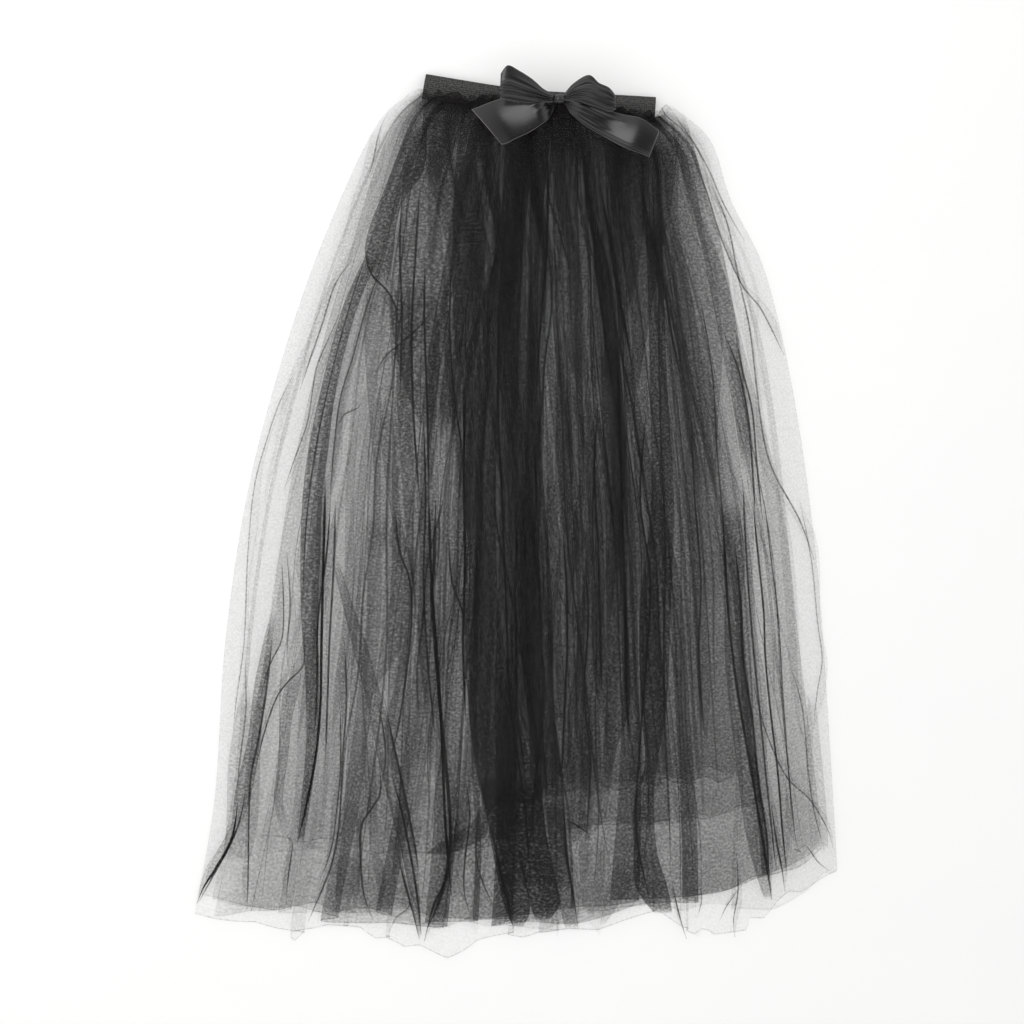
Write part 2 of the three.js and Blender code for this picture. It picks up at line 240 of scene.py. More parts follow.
# %% The stack of panels
WALL = 1.0
CLEAR = 0.4
ELASTIC_WALL = 1.5
BAND_SLAB = 3 * CLEAR + 2 * ELASTIC_WALL

# For each layer: the hem as shares down at left, middle and right, and the side edges as shares across.
LAYERS = {
    "outer": {"hem": (1.0, 1.0, 1.0), "down": (0, 1), "left": (0, 0), "right": (1, 1)},
    "second": {"hem": (0.945, 0.95, 0.95), "down": (0, 0.24, 0.6, 1),
               "left": (0.045, 0.07, 0.073, 0.03), "right": (0.945, 0.91, 0.95, 0.975)},
    "third": {"hem": (0.905, 0.89, 0.865), "down": (0, 0.24, 0.6, 1),
              "left": (0.07, 0.11, 0.12, 0.075), "right": (0.925, 0.87, 0.88, 0.89)},
    "inner": {"hem": (0.845, 0.83, 0.825), "down": (0, 0.24, 0.6, 1),
              "left": (0.12, 0.3, 0.4, 0.44), "right": (0.9, 0.825, 0.83, 0.84)},
}
AROUND = {"second": "outer", "third": "second", "inner": "third"}
STACK = [("outer", "back", 0.0), ("second", "back", 0.8), ("third", "back", 0.8), ("inner", "back", 0.8),
         ("inner", "front", 2.0), ("third", "front", 2.6), ("second", "front", 3.6), ("outer", "front", 6.0)]
BAND_PLACE = 4


def across_curve(three, across):
    """A value given at the left, the middle and the right, at any place across."""
    left, middle, right = three
    return mix(left, right, across) + (4 * middle - 2 * (left + right)) * across * (1 - across)


def edges_at(layer, down):
    """The layer's side edges, as shares across, eased from one named height to the next."""
    rows = LAYERS[layer]
    found = []
    for side in ("left", "right"):
        value = np.full_like(down, rows[side][0])
        for i in range(1, len(rows["down"])):
            step = rows[side][i] - rows[side][i - 1]
            value = value + step * ease(down, rows["down"][i - 1], rows["down"][i])
        found.append(value)
    return found


def presence(layer, across, down):
    """1 where the layer lies under those above it, and 0 past its hem or its sides."""
    if layer == "outer":
        return np.ones_like(across)
    own_hem = across_curve(LAYERS[layer]["hem"], across)
    next_hem = across_curve(LAYERS[AROUND[layer]]["hem"], across)
    below = np.clip((next_hem - down) / (next_hem - own_hem), 0, 1)
    own_left, own_right = edges_at(layer, down)
    next_left, next_right = edges_at(AROUND[layer], down)
    out = np.maximum((own_left - across) / (own_left - next_left),
                     (across - own_right) / (next_right - own_right))
    return below * (1 - ease(out, 0.3, 1.0))


def swell_at(swell, down):
    return swell * mix(0.55, 1.0, ease(down, 0, 0.3))


def stack_height(place, across, down):
    """The height in millimetres of what lies under the panel with this number."""
    slabs = [(WALL + CLEAR + swell_at(swell, down)) * presence(layer, across, down)
             for layer, _, swell in STACK[:place]]
    if place < BAND_PLACE:
        return sum(slabs) + np.zeros_like(across)
    band_base = sum(WALL + CLEAR + swell_at(swell, np.zeros(1)) for _, _, swell in STACK[:BAND_PLACE])
    rows = np.interp(down, [0.012, 0.045, 0.1, 0.18], [1.0, 0.9, 0.3, 0.0])
    band = rows * np.clip(np.minimum(across, 1 - across) / 0.03, 0, 1)
    below_band = np.maximum(sum(slabs[:BAND_PLACE]), band_base * band)
    return below_band + BAND_SLAB * band + sum(slabs[BAND_PLACE:])


probe = np.array([0.55])
print("height of the stack in mm at the waist and the middle:",
      stack_height(8, probe, np.array([0.02])).round(1), stack_height(8, probe, np.array([0.5])).round(1))

# %% [markdown]
# ## Gathers, creases and folds
# Gathered net doesn't fall in even waves. It runs in streaks from the waist, some wide and soft, some
# no wider than a pencil line where the net is creased sharply or folded over itself. Streaks come
# from seeded noise that is stretched down the skirt. The folds that the eye can follow on the
# real skirt are named one by one in short tables, in millimetres on the table.


# %% Streaks that run down the skirt
def stretched_noise(rng, across, down, lines, steps):
    """Smooth noise from -1 to 1, with that many lines across and steps down."""
    grid = rng.uniform(-1, 1, (steps + 4, lines + 4))
    x = np.clip(across, -0.02, 1.02) * lines + 1
    y = np.clip(down, 0, 1.1) * steps + 1
    i, j = np.floor(y).astype(int), np.floor(x).astype(int)
    i, j = np.clip(i, 0, steps + 2), np.clip(j, 0, lines + 2)
    fy, fx = ease(y - i, 0, 1), ease(x - j, 0, 1)
    top = mix(grid[i, j], grid[i, j + 1], fx)
    bottom = mix(grid[i + 1, j], grid[i + 1, j + 1], fx)
    return mix(top, bottom, fy)


def streaks(rng, across, down, fineness):
    """Soft streaks around 0, and thin creases from 0 to 1, where slow noise crosses zero."""
    wander = 0.012 * stretched_noise(rng, across, down, 7, 4)
    soft = sum(size * stretched_noise(rng, across + wander, down, int(lines * fineness), steps)
               for lines, steps, size in ((14, 3, 0.6), (34, 4, 0.6), (80, 5, 0.35), (170, 7, 0.2)))
    thin = np.zeros_like(across)
    for lines, steps, width in ((12, 3, 0.05), (26, 4, 0.08), (50, 5, 0.12)):
        wave = stretched_noise(rng, across + 2 * wander, down, int(lines * fineness), steps)
        thin = np.maximum(thin, np.exp(-(wave / width) ** 2))
    return soft, thin


# %% Knife folds, where the net lies three deep
def fold_over(cloth, down, folds, panel_mm):
    """How far each column of cloth is shifted across, how high it is lifted, and where it turns back.

    A fold is (share across, half its width as a share, where it starts, where it ends, height)."""
    shift, lift, turned = (np.zeros_like(cloth) for _ in range(3))
    for at, width, start, end, height in folds:
        t = (cloth - at) / width
        reach = ease(down, start - 0.06, start + 0.1) * (1 - ease(down, end - 0.1, end + 0.06))
        shift -= 2.7 * width * t * np.exp(-(t**2)) * reach
        lift += height * (0.5 + 0.5 * np.tanh(2.5 * t)) * np.exp(-((t / 2.2) ** 2)) * reach
        line = math.sqrt(0.9 / (1.9 * width * panel_mm))  # so that the line is about 2 mm wide
        turned += reach * np.exp(-(((np.abs(t) - 0.45) / line) ** 2))
    return shift, lift, turned


def random_folds(rng, count, widest_mm, panel_mm):
    """Folds of mixed widths, spread unevenly over a panel."""
    folds = []
    for k in range(count):
        at = (k + rng.uniform(0.2, 0.8)) / count
        width = (1.5 + (widest_mm - 1.5) * rng.uniform(0, 1) ** 1.6) / panel_mm
        start = rng.choice([-0.2, -0.2, 0.15, 0.35])
        end = rng.choice([0.5, 0.8, 1.2, 1.2])
        if 0.04 < at < 0.96:
            folds.append((at, width, start, end, 1.0))
    return folds


# %% The folds that the eye follows
# Places here are read off the photograph: x to the right and y down, in pixels of its 1024 by 1024 frame.
PIXEL_MM = 1.18
PHOTO_MIDDLE = (516, 515)  # the pixel over the origin


def on_table(points):
    """Places in the photograph as millimetres on the table."""
    x, y = np.array(points, float).T
    return np.stack([(x - PHOTO_MIDDLE[0]) * PIXEL_MM, (PHOTO_MIDDLE[1] - y) * PIXEL_MM], axis=-1)


def crease(layer, wide, plies, *line):
    """A sharp crease: the layer that holds it, its width in pixels, the plies that it adds, its points."""
    return {"layer": layer, "wide": wide, "plies": plies, "line": line}


def pane(layer, plies, edges, *rows):
    """A stretch where net is folded over: the plies that it adds, how strongly its left and right edges
    show as lines, and rows of (y, left, right)."""
    return {"layer": layer, "plies": plies, "edges": edges, "rows": rows}


CREASES = {
    "left long": crease("outer", 1.6, 18, (326, 480), (324, 560), (322, 640), (321, 700), (317, 750),
        (308, 800), (298, 842)),
    "left long beside": crease("second", 1.2, 9, (331, 500), (326, 560), (318, 620), (317, 690),
        (314, 740)),
    "bundle": crease("outer", 1.6, 13, (429, 490), (431, 560), (434, 610), (439, 680), (443, 760),
        (446, 830), (452, 900)),
    "bundle beside": crease("second", 2.2, 9, (436, 500), (434, 570), (432, 600), (440, 700), (449, 800),
        (450, 850), (441, 895), (427, 930)),
    "upper left": crease("outer", 1.3, 9, (425, 262), (425, 330), (428, 420), (429, 500)),
    "upper left beside": crease("second", 1.3, 8, (402, 195), (400, 250), (402, 320), (400, 400)),
    "flap edge": crease("outer", 1.2, 10, (365, 248), (371, 273), (387, 291), (396, 308), (400, 330)),
    "flap tip": crease("outer", 1.1, 7, (385, 290), (394, 295), (398, 297)),
    "twig": crease("outer", 1.0, 9, (335, 432), (345, 415), (359, 408), (364, 395)),
    "cross upper": crease("outer", 1.0, 6, (372, 383), (385, 358), (400, 345), (422, 325), (438, 300)),
    "side left one": crease("outer", 1.0, 4, (388, 112), (380, 128), (372, 165), (365, 185)),
    "side left two": crease("outer", 1.1, 5, (352, 260), (335, 285), (322, 325), (310, 360), (300, 390)),
    "side left three": crease("outer", 1.0, 4, (342, 310), (328, 340), (316, 370), (308, 420), (296, 455),
        (284, 490)),
    "side left four": crease("outer", 0.9, 3, (296, 370), (280, 400), (266, 440), (253, 490), (247, 560),
        (244, 640), (236, 700), (233, 730)),
    "side left five": crease("outer", 1.0, 4, (245, 660), (246, 710), (240, 760), (236, 800)),
    "corner left": crease("outer", 1.6, 16, (238, 800), (232, 838), (216, 868), (203, 888), (196, 905)),
    "corner left beside": crease("outer", 1.2, 9, (246, 790), (240, 820), (230, 845), (212, 878),
        (198, 903)),
    "twist line": crease("outer", 1.0, 8, (305, 632), (305, 655), (302, 668), (288, 682), (276, 700),
        (264, 735), (256, 770)),
    "twist line beside": crease("second", 1.0, 5, (286, 550), (290, 600), (287, 650), (288, 668)),
    "left light edge": crease("outer", 1.0, 6, (282, 560), (284, 610), (282, 640), (270, 665),
        (260, 700)),
    "hem line left": crease("outer", 1.0, 8, (249, 790), (249, 850), (247, 910)),
    "hem dip left": crease("outer", 1.0, 7, (284, 830), (290, 838), (293, 845), (288, 880), (286, 905)),
    "double low": crease("outer", 1.2, 7, (345, 640), (347, 700), (343, 760), (340, 820), (333, 860),
        (322, 890), (308, 922)),
    "double low beside": crease("second", 1.0, 6, (340, 700), (341, 760), (337, 810), (331, 850),
        (318, 885)),
    "low bend": crease("outer", 1.3, 8, (380, 760), (381, 790), (374, 805), (362, 825), (361, 860),
        (364, 895), (373, 920)),
    "low wedge": crease("outer", 1.4, 10, (397, 850), (404, 880), (412, 910), (419, 940)),
    "low wedge right": crease("outer", 1.4, 10, (452, 855), (446, 880), (434, 905), (424, 942)),
    "low wedge left": crease("outer", 1.0, 7, (412, 890), (408, 908), (396, 918), (389, 932)),
    "low twist": crease("outer", 1.2, 8, (466, 780), (470, 815), (465, 860), (464, 890), (470, 915)),
    "low twist beside": crease("outer", 1.0, 6, (480, 800), (476, 850), (482, 880), (493, 905),
        (498, 915)),
    "core tail": crease("outer", 1.6, 10, (492, 830), (500, 870), (508, 905), (513, 930)),
    "core tail right": crease("outer", 1.6, 10, (563, 800), (566, 850), (573, 895), (578, 925)),
    "waist fan one": crease("outer", 1.5, 8, (545, 130), (548, 180), (546, 260), (540, 330), (536, 400)),
    "waist fan two": crease("outer", 1.5, 8, (580, 125), (585, 170), (592, 220), (596, 270), (604, 330),
        (612, 390)),
    "waist fan three": crease("outer", 1.6, 9, (600, 190), (608, 230), (615, 280), (625, 330),
        (632, 370)),
    "waist fan four": crease("outer", 1.3, 8, (640, 190), (652, 240), (664, 290), (670, 330), (682, 390)),
    "middle x one": crease("outer", 1.2, 7, (556, 585), (562, 600), (570, 615), (576, 630)),
    "middle x two": crease("outer", 1.2, 8, (562, 530), (566, 580), (567, 640), (565, 690), (563, 740),
        (561, 790)),
    "middle long": crease("outer", 1.2, 7, (598, 400), (594, 470), (598, 550), (600, 640), (602, 700)),
    "middle dark": crease("second", 1.6, 8, (617, 360), (620, 440), (622, 520), (625, 600), (626, 680),
        (628, 740)),
    "right fan one": crease("outer", 1.1, 6, (700, 300), (712, 380), (716, 450), (722, 520), (727, 600)),
    "right fan two": crease("outer", 1.3, 9, (722, 330), (738, 370), (748, 420), (752, 470), (755, 520)),
    "right fan three": crease("outer", 1.2, 8, (735, 330), (742, 370), (752, 410), (756, 460),
        (762, 520)),
    "right dark one": crease("outer", 1.6, 10, (722, 520), (724, 560), (728, 620), (735, 680), (744, 735),
        (752, 780), (764, 850), (772, 900)),
    "right dark two": crease("second", 1.6, 9, (734, 540), (740, 600), (743, 660), (752, 720), (758, 780),
        (766, 830), (770, 880)),
    "right long": crease("outer", 1.2, 12, (752, 500), (757, 550), (763, 610), (765, 660), (771, 720),
        (777, 770), (782, 830), (787, 875)),
    "right long two": crease("outer", 1.0, 7, (764, 500), (771, 560), (778, 620), (782, 690), (788, 770),
        (794, 830), (799, 850)),
    "right sheer one": crease("outer", 1.0, 4, (672, 112), (690, 138), (708, 168), (725, 205),
        (745, 240)),
    "right sheer two": crease("outer", 1.0, 5, (690, 150), (706, 190), (722, 240), (742, 285), (762, 310),
        (785, 355)),
    "right sheer three": crease("outer", 1.1, 5, (712, 185), (728, 225), (738, 275), (750, 330),
        (757, 390), (764, 440), (775, 475), (800, 520), (815, 560)),
    "right sheer four": crease("outer", 0.9, 3, (800, 500), (812, 560), (818, 620), (823, 660),
        (818, 690), (813, 730)),
    "right sheer five": crease("outer", 1.0, 4, (790, 668), (798, 690), (804, 720), (808, 770),
        (814, 810), (824, 850)),
    "right slant": crease("outer", 0.9, 5, (752, 680), (765, 730), (785, 775), (810, 800), (828, 830),
        (834, 850)),
    "knot right": crease("outer", 3.0, 12, (794, 849), (801, 852)),
    "knot right tails": crease("outer", 1.2, 6, (799, 850), (806, 846), (818, 862), (830, 872)),
    "hem right one": crease("outer", 1.2, 8, (672, 880), (678, 910), (687, 940)),
    "hem right two": crease("outer", 1.0, 7, (698, 880), (702, 898), (698, 918)),
    "hem right three": crease("outer", 1.0, 7, (742, 885), (728, 905), (720, 922)),
    "hem right four": crease("outer", 1.0, 6, (736, 850), (738, 890), (734, 920), (735, 938)),
    "left long second": crease("outer", 1.3, 9, (336, 500), (334, 570), (330, 640), (328, 700),
        (326, 760)),
    "low steep": crease("outer", 1.5, 10, (393, 775), (402, 810), (410, 850), (417, 895), (421, 935)),
    "low steep beside": crease("second", 1.3, 8, (385, 700), (393, 740), (404, 790), (414, 840),
        (420, 880)),
    "curl upper": crease("outer", 1.3, 8, (395, 505), (400, 550), (410, 580), (412, 620), (406, 680),
        (398, 730), (390, 760)),
    "curl lower": crease("outer", 1.2, 7, (378, 700), (384, 730), (386, 760), (380, 790)),
    "pleat left": crease("second", 1.4, 8, (272, 640), (266, 690), (258, 740), (250, 780), (249, 830)),
    "strip edge one": crease("outer", 1.0, 6, (368, 250), (352, 300), (338, 350), (326, 400), (316, 450),
        (307, 520), (303, 600)),
    "strip edge two": crease("second", 1.0, 6, (383, 262), (366, 310), (352, 360), (340, 400), (334, 450),
        (330, 500)),
    "slope one": crease("outer", 1.1, 6, (452, 260), (450, 330), (455, 400), (462, 450), (466, 520)),
    "slope two": crease("second", 1.4, 9, (420, 190), (416, 250), (412, 330), (414, 420), (420, 500)),
    "bundle left": crease("outer", 1.2, 8, (424, 420), (426, 500), (424, 580), (428, 660), (436, 740)),
    "bundle cross": crease("second", 1.2, 7, (448, 530), (452, 580), (462, 610), (468, 640)),
    "core edge": crease("second", 1.5, 9, (466, 380), (464, 460), (465, 560), (463, 640), (466, 720)),
    "core seam": crease("outer", 1.2, 7, (508, 200), (500, 300), (498, 400), (502, 500), (506, 600),
        (510, 700), (524, 800), (530, 880)),
    "middle pleat one": crease("outer", 1.2, 7, (585, 560), (588, 620), (584, 690), (590, 760),
        (586, 840)),
    "middle pleat two": crease("second", 1.3, 8, (645, 420), (640, 500), (650, 580), (646, 660),
        (640, 740), (636, 830), (650, 900)),
    "middle pleat three": crease("outer", 1.2, 7, (690, 420), (694, 500), (700, 580), (698, 660),
        (704, 740)),
    "right bundle": crease("outer", 1.3, 8, (742, 480), (746, 560), (752, 640), (760, 720), (768, 800),
        (776, 870)),
    "right hem pleat": crease("outer", 1.3, 8, (770, 800), (776, 840), (782, 870), (785, 892)),
    "flipped strip": crease("third", 3.2, 9, (564, 818), (576, 825), (589, 834)),
}

PANES = {
    "core": pane("inner", 11, (3, 3), (90, 505, 556), (180, 503, 546), (250, 496, 540), (320, 476, 538),
        (370, 463, 540), (475, 464, 543), (560, 465, 550), (640, 463, 553), (700, 468, 552),
        (760, 474, 561), (830, 489, 566)),
    "core dark left": pane("third", 8, (2, 3), (120, 508, 530), (200, 502, 528), (300, 486, 514),
        (380, 464, 500), (500, 465, 496), (620, 464, 500), (720, 470, 520), (790, 480, 540)),
    "upper left dark": pane("third", 9, (2, 1), (150, 404, 474), (220, 400, 484), (300, 390, 484),
        (380, 402, 470), (440, 428, 460)),
    "right upper shade": pane("second", 6, (2, 2), (150, 662, 690), (240, 670, 706), (330, 676, 722),
        (420, 684, 718), (500, 700, 714)),
    "upper left strip": pane("second", 5, (2, 2), (130, 430, 446), (200, 428, 440), (280, 430, 446),
        (360, 434, 452), (440, 446, 456)),
    "core dark right": pane("second", 7, (3, 2), (480, 512, 524), (560, 516, 540), (640, 520, 552),
        (720, 528, 554), (790, 530, 560)),
    "below the flap": pane("third", 6, (2, 2), (280, 368, 392), (330, 364, 394), (400, 368, 392),
        (480, 374, 390), (560, 372, 386)),
    "upper middle dark": pane("third", 7, (1, 1), (110, 548, 640), (180, 550, 648), (260, 554, 640),
        (330, 562, 624), (400, 580, 612)),
    "bundle shade left": pane("third", 7, (2, 1), (290, 388, 410), (380, 392, 412), (480, 392, 414),
        (560, 392, 414), (640, 388, 412), (740, 390, 410), (800, 394, 410)),
    "left low pane": pane("second", 4, (2, 2), (690, 240, 262), (760, 228, 260), (820, 226, 258),
        (862, 222, 250)),
    "low middle pane": pane("second", 4, (2, 2), (830, 578, 606), (880, 580, 604), (915, 584, 602)),
    "bundle shade": pane("third", 6, (2, 1), (280, 394, 436), (360, 396, 440), (420, 398, 437),
        (520, 405, 440), (600, 414, 441), (700, 424, 441), (780, 430, 446)),
    "core tail left": pane("second", 20, (5, 3), (770, 478, 508), (830, 489, 514), (880, 498, 526),
        (912, 506, 530), (928, 514, 522)),
    "core tail middle": pane("second", 22, (2, 3), (770, 508, 540), (830, 514, 546), (880, 524, 556),
        (905, 530, 560), (922, 536, 548)),
    "core tail right": pane("outer", 9, (2, 5), (790, 545, 563), (830, 548, 566), (880, 554, 571),
        (910, 560, 575), (930, 566, 579)),
    "core tail under": pane("third", 8, (2, 2), (800, 494, 560), (850, 500, 566), (888, 508, 570)),
    "left strip": pane("third", 13, (3, 5), (250, 368, 382), (300, 345, 360), (350, 330, 345),
        (400, 318, 334), (450, 308, 328), (500, 302, 322), (560, 300, 320), (620, 301, 318),
        (680, 305, 319), (740, 306, 317), (790, 302, 312), (842, 297, 303)),
    "flap": pane("second", 15, (2, 0), (120, 412, 428), (170, 392, 424), (200, 380, 404), (225, 370, 397),
        (250, 365, 394), (275, 371, 391), (293, 388, 393)),
    "waist dark left": pane("third", 12, (1, 1), (95, 425, 465), (150, 420, 450), (190, 412, 436)),
    "waist dark middle": pane("third", 12, (0, 0), (95, 465, 505), (170, 455, 500), (260, 452, 498),
        (350, 455, 470), (380, 460, 466)),
    "second strip": pane("second", 6, (2, 2), (400, 380, 392), (450, 382, 396), (520, 392, 402),
        (560, 400, 412), (600, 402, 416), (640, 400, 414), (680, 396, 403), (720, 386, 394),
        (750, 377, 386)),
    "cross strip": pane("outer", 6, (8, 6), (555, 331, 337), (600, 342, 352), (650, 354, 369),
        (700, 367, 383), (750, 377, 397), (800, 389, 408), (850, 401, 416), (900, 411, 420),
        (938, 418, 421)),
    "middle pane": pane("second", 5, (4, 3), (510, 366, 400), (560, 361, 402), (610, 356, 402),
        (650, 352, 400), (700, 350, 372), (760, 347, 376), (840, 343, 378)),
    "pane right of cross": pane("third", 5, (3, 2), (540, 404, 430), (600, 414, 432), (660, 410, 430),
        (720, 404, 428), (780, 408, 424)),
    "twist strip": pane("second", 8, (3, 3), (610, 271, 276), (650, 261, 271), (690, 253, 266),
        (740, 247, 260), (790, 235, 252), (838, 230, 237)),
    "twist strip right": pane("second", 7, (3, 2), (664, 297, 303), (690, 284, 299), (720, 280, 292),
        (760, 278, 288), (800, 274, 283), (835, 282, 290)),
    "low left pane": pane("second", 5, (3, 2), (845, 337, 376), (880, 336, 386), (916, 335, 378)),
    "hem corner strip": pane("third", 9, (3, 3), (798, 484, 489), (820, 474, 488), (836, 452, 486),
        (846, 436, 470), (856, 424, 446)),
    "right of core": pane("third", 5, (1, 1), (300, 552, 560), (400, 556, 572), (500, 556, 572),
        (560, 572, 600), (640, 574, 602), (720, 568, 600), (790, 566, 602)),
    "middle dark": pane("second", 9, (2, 2), (340, 600, 618), (420, 602, 624), (500, 605, 628),
        (600, 606, 627), (700, 606, 630), (750, 603, 616), (795, 604, 610)),
    "smooth band": pane("third", 14, (2, 2), (215, 645, 662), (300, 648, 664), (400, 650, 668),
        (500, 651, 674), (600, 641, 671), (700, 640, 667), (760, 645, 658), (800, 634, 654),
        (850, 634, 657), (888, 636, 668), (915, 655, 673)),
    "upper right dark": pane("third", 9, (1, 1), (130, 600, 680), (200, 612, 672), (260, 622, 660),
        (330, 632, 648), (400, 628, 636)),
    "right strip": pane("second", 9, (3, 3), (500, 718, 738), (560, 722, 745), (600, 724, 742),
        (650, 724, 745), (700, 728, 750), (740, 733, 752), (780, 738, 760), (830, 745, 764),
        (870, 755, 770), (900, 765, 773)),
    "right edge strip": pane("second", 9, (2, 3), (112, 668, 684), (160, 678, 698), (200, 690, 710),
        (240, 700, 721), (300, 712, 733), (360, 724, 742), (420, 735, 748), (470, 742, 752)),
    "right pale pane": pane("outer", 1.2, (1, 2), (300, 742, 750), (360, 748, 756), (440, 757, 768),
        (500, 766, 784), (560, 770, 794), (650, 779, 800), (700, 783, 803), (760, 788, 807),
        (800, 790, 808), (848, 799, 811)),
    "right low pane": pane("outer", 3.5, (3, 2), (690, 809, 815), (740, 806, 820), (800, 808, 826),
        (850, 811, 829)),
    "left pale pane": pane("outer", 2.2, (1, 1), (125, 372, 388), (170, 362, 382), (200, 352, 369),
        (250, 340, 353), (300, 325, 336), (340, 318, 326)),
    "hem pleat one": pane("second", 5, (3, 2), (800, 345, 360), (850, 340, 362), (900, 334, 358)),
    "hem pleat two": pane("second", 4, (2, 4), (740, 362, 384), (800, 366, 392), (860, 372, 402),
        (908, 380, 412)),
    "middle strip": pane("third", 4, (3, 3), (330, 560, 578), (430, 556, 584), (530, 560, 580),
        (640, 548, 566), (740, 556, 572)),
    "low right pane": pane("outer", 4, (3, 3), (860, 618, 632), (890, 606, 628), (926, 600, 604)),
}


print("named creases:", len(CREASES), "named panes:", len(PANES))

# %% [markdown]
# ## The hems
# Each hem is a raw cut edge of net, not a sewn one, so it only dips where a fold reaches further down
# the table. The outer hem's dips are read from the real skirt: where across, and how many millimetres
# below the hem line. The inner hems get softer, uneven dips of their own.

# %% How far each hem hangs
OUTER_DIPS = [(0.036, 0), (0.085, 0), (0.161, 12), (0.168, 22), (0.18, 10), (0.215, 2), (0.267, 3),
              (0.29, 16), (0.31, 12), (0.329, 24), (0.35, 20), (0.388, 34), (0.41, 24), (0.43, 10),
              (0.471, 1), (0.495, 8), (0.512, 3), (0.56, 0), (0.602, 4), (0.646, -6), (0.688, -14),
              (0.72, 6), (0.75, 22), (0.757, 6), (0.77, 21), (0.835, 20), (0.84, 6), (0.87, 10),
              (0.9, -6), (0.925, -12), (0.95, -2), (0.975, -4), (1.0, 0)]


def hem_hang(layer, side, across, rng):
    """Millimetres below the layer's hem line."""
    if layer == "outer" and side == "front":
        places, dips = zip(*OUTER_DIPS)
        return np.interp(across, places, dips) - 6
    deep = {"outer": 14, "second": 12, "third": 12, "inner": 10}[layer]
    wave = stretched_noise(rng, across, np.zeros_like(across), 9, 1)
    ripple = stretched_noise(rng, across, np.zeros_like(across), 26, 1)
    longer = {"outer": -14, "second": 14, "third": 0, "inner": 0}[layer]
    if layer == "second":
        longer = longer + 20 * (1 - ease(across, 0.5, 0.8))
    return deep * wave + 0.45 * deep * ripple + longer


# %% [markdown]
# ## Folds as strips of their own
# Where net is folded over, two more plies lie on it, and they end in a line as sharp as a cut. A grid
# that follows the gathers can't hold a sharp line that slants across it, so each fold and each crease is
# laid as a strip on its layer: wide strips are folds pressed flat, and the narrow ones are creases. A
# strip's own edges are a little denser, because the net turns back there.


# %% Strips along a crease or a fold
CREASE_DEPTH = 4.6  # net stands up in a crease, so it hides this many times what its plies would
CREASE_HALF = 0.85  # half a crease's width, as a share of the width in its row
LOW_Y = 840  # a fold that reaches below this row of the photograph runs on to the hem
SHADE_MM = 7.0  # how far the net lies doubled beside a crease
SHADE_PLIES = 3.2
HEM_CURL_MM = 1.5  # a raw edge of net curls over by about this much
HEM_PLIES = {"front": 5.0, "back": 2.0}


def strip_between(left, right, plies, edges, ends=(0, 0), edge_mm=1.3):
    """Columns of a strip between two lines on the table, with the plies of each point. ends are the
    lengths in mm over which it fades in and out."""
    width = np.linalg.norm(right - left, axis=1)
    rim = np.clip(edge_mm / np.maximum(width, 0.01), 0, 0.3)[:, None]
    shares = [np.zeros_like(rim), rim, 0.5 * np.ones_like(rim), 1 - rim, np.ones_like(rim)]
    places = np.stack([left + (right - left) * share for share in shares], axis=1)
    dense = plies + np.array([edges[0], 0.5 * edges[0], 0.0, 0.5 * edges[1], edges[1]])
    along = np.concatenate([[0], np.cumsum(np.linalg.norm(np.diff(places[:, 2], axis=0), axis=1))])
    fade = ease(along, -1, ends[0]) * ease(along[-1] - along, -1, ends[1])
    return places, dense * fade[:, None]


def named_pane(fold):
    """A pane's strip, from its rows in the photograph."""
    ys, lefts, rights = (np.array(column, float) for column in zip(*fold["rows"]))
    left = smooth_curve(on_table(np.column_stack([lefts, ys])), 8)[0][:, 1:]
    right = smooth_curve(on_table(np.column_stack([rights, ys])), 8)[0][:, 1:]
    return strip_between(left, right, fold["plies"], fold["edges"], (30, 8 if ys[-1] > LOW_Y else 40))


def named_crease(fold):
    """A crease's strip: a narrow one that follows its line and runs out to a point."""
    table, length = smooth_curve(on_table(fold["line"]), 8)
    share, line = table[:, :1], table[:, 1:]
    ahead = np.gradient(line, axis=0)
    aside = np.stack([-ahead[:, 1], ahead[:, 0]], axis=1) / np.linalg.norm(ahead, axis=1)[:, None]
    taper = np.clip(np.minimum(share, 1 - share) * length / 40, 0.12, 1)
    half = CREASE_HALF * fold["wide"] * PIXEL_MM * taper
    plies = CREASE_DEPTH * fold["plies"]
    sharp = strip_between(line - aside * half, line + aside * half, plies, (-plies / 2,) * 2)
    ripple = 1 + 0.5 * np.sin(length / 30 * share + len(fold["line"]))
    reach = -aside * SHADE_MM * taper * ripple * (1 if len(fold["line"]) % 2 else -1)
    shade = strip_between(line, line + reach, SHADE_PLIES * min(1, fold["plies"] / 8), (0, 1.5))
    return [sharp, shade]


RANDOM_STRIPS = {  # how many wide and narrow ones, on the front and the back, and the plies of the wide
    "inner": {"wide": (10, 3), "narrow": (7, 2), "plies": (2, 6)},
    "third": {"wide": (11, 4), "narrow": (10, 2), "plies": (1, 4)},
    "second": {"wide": (13, 4), "narrow": (15, 3), "plies": (1, 4)},
    "outer": {"wide": (12, 3), "narrow": (18, 3), "plies": (0.6, 1.8)},
}


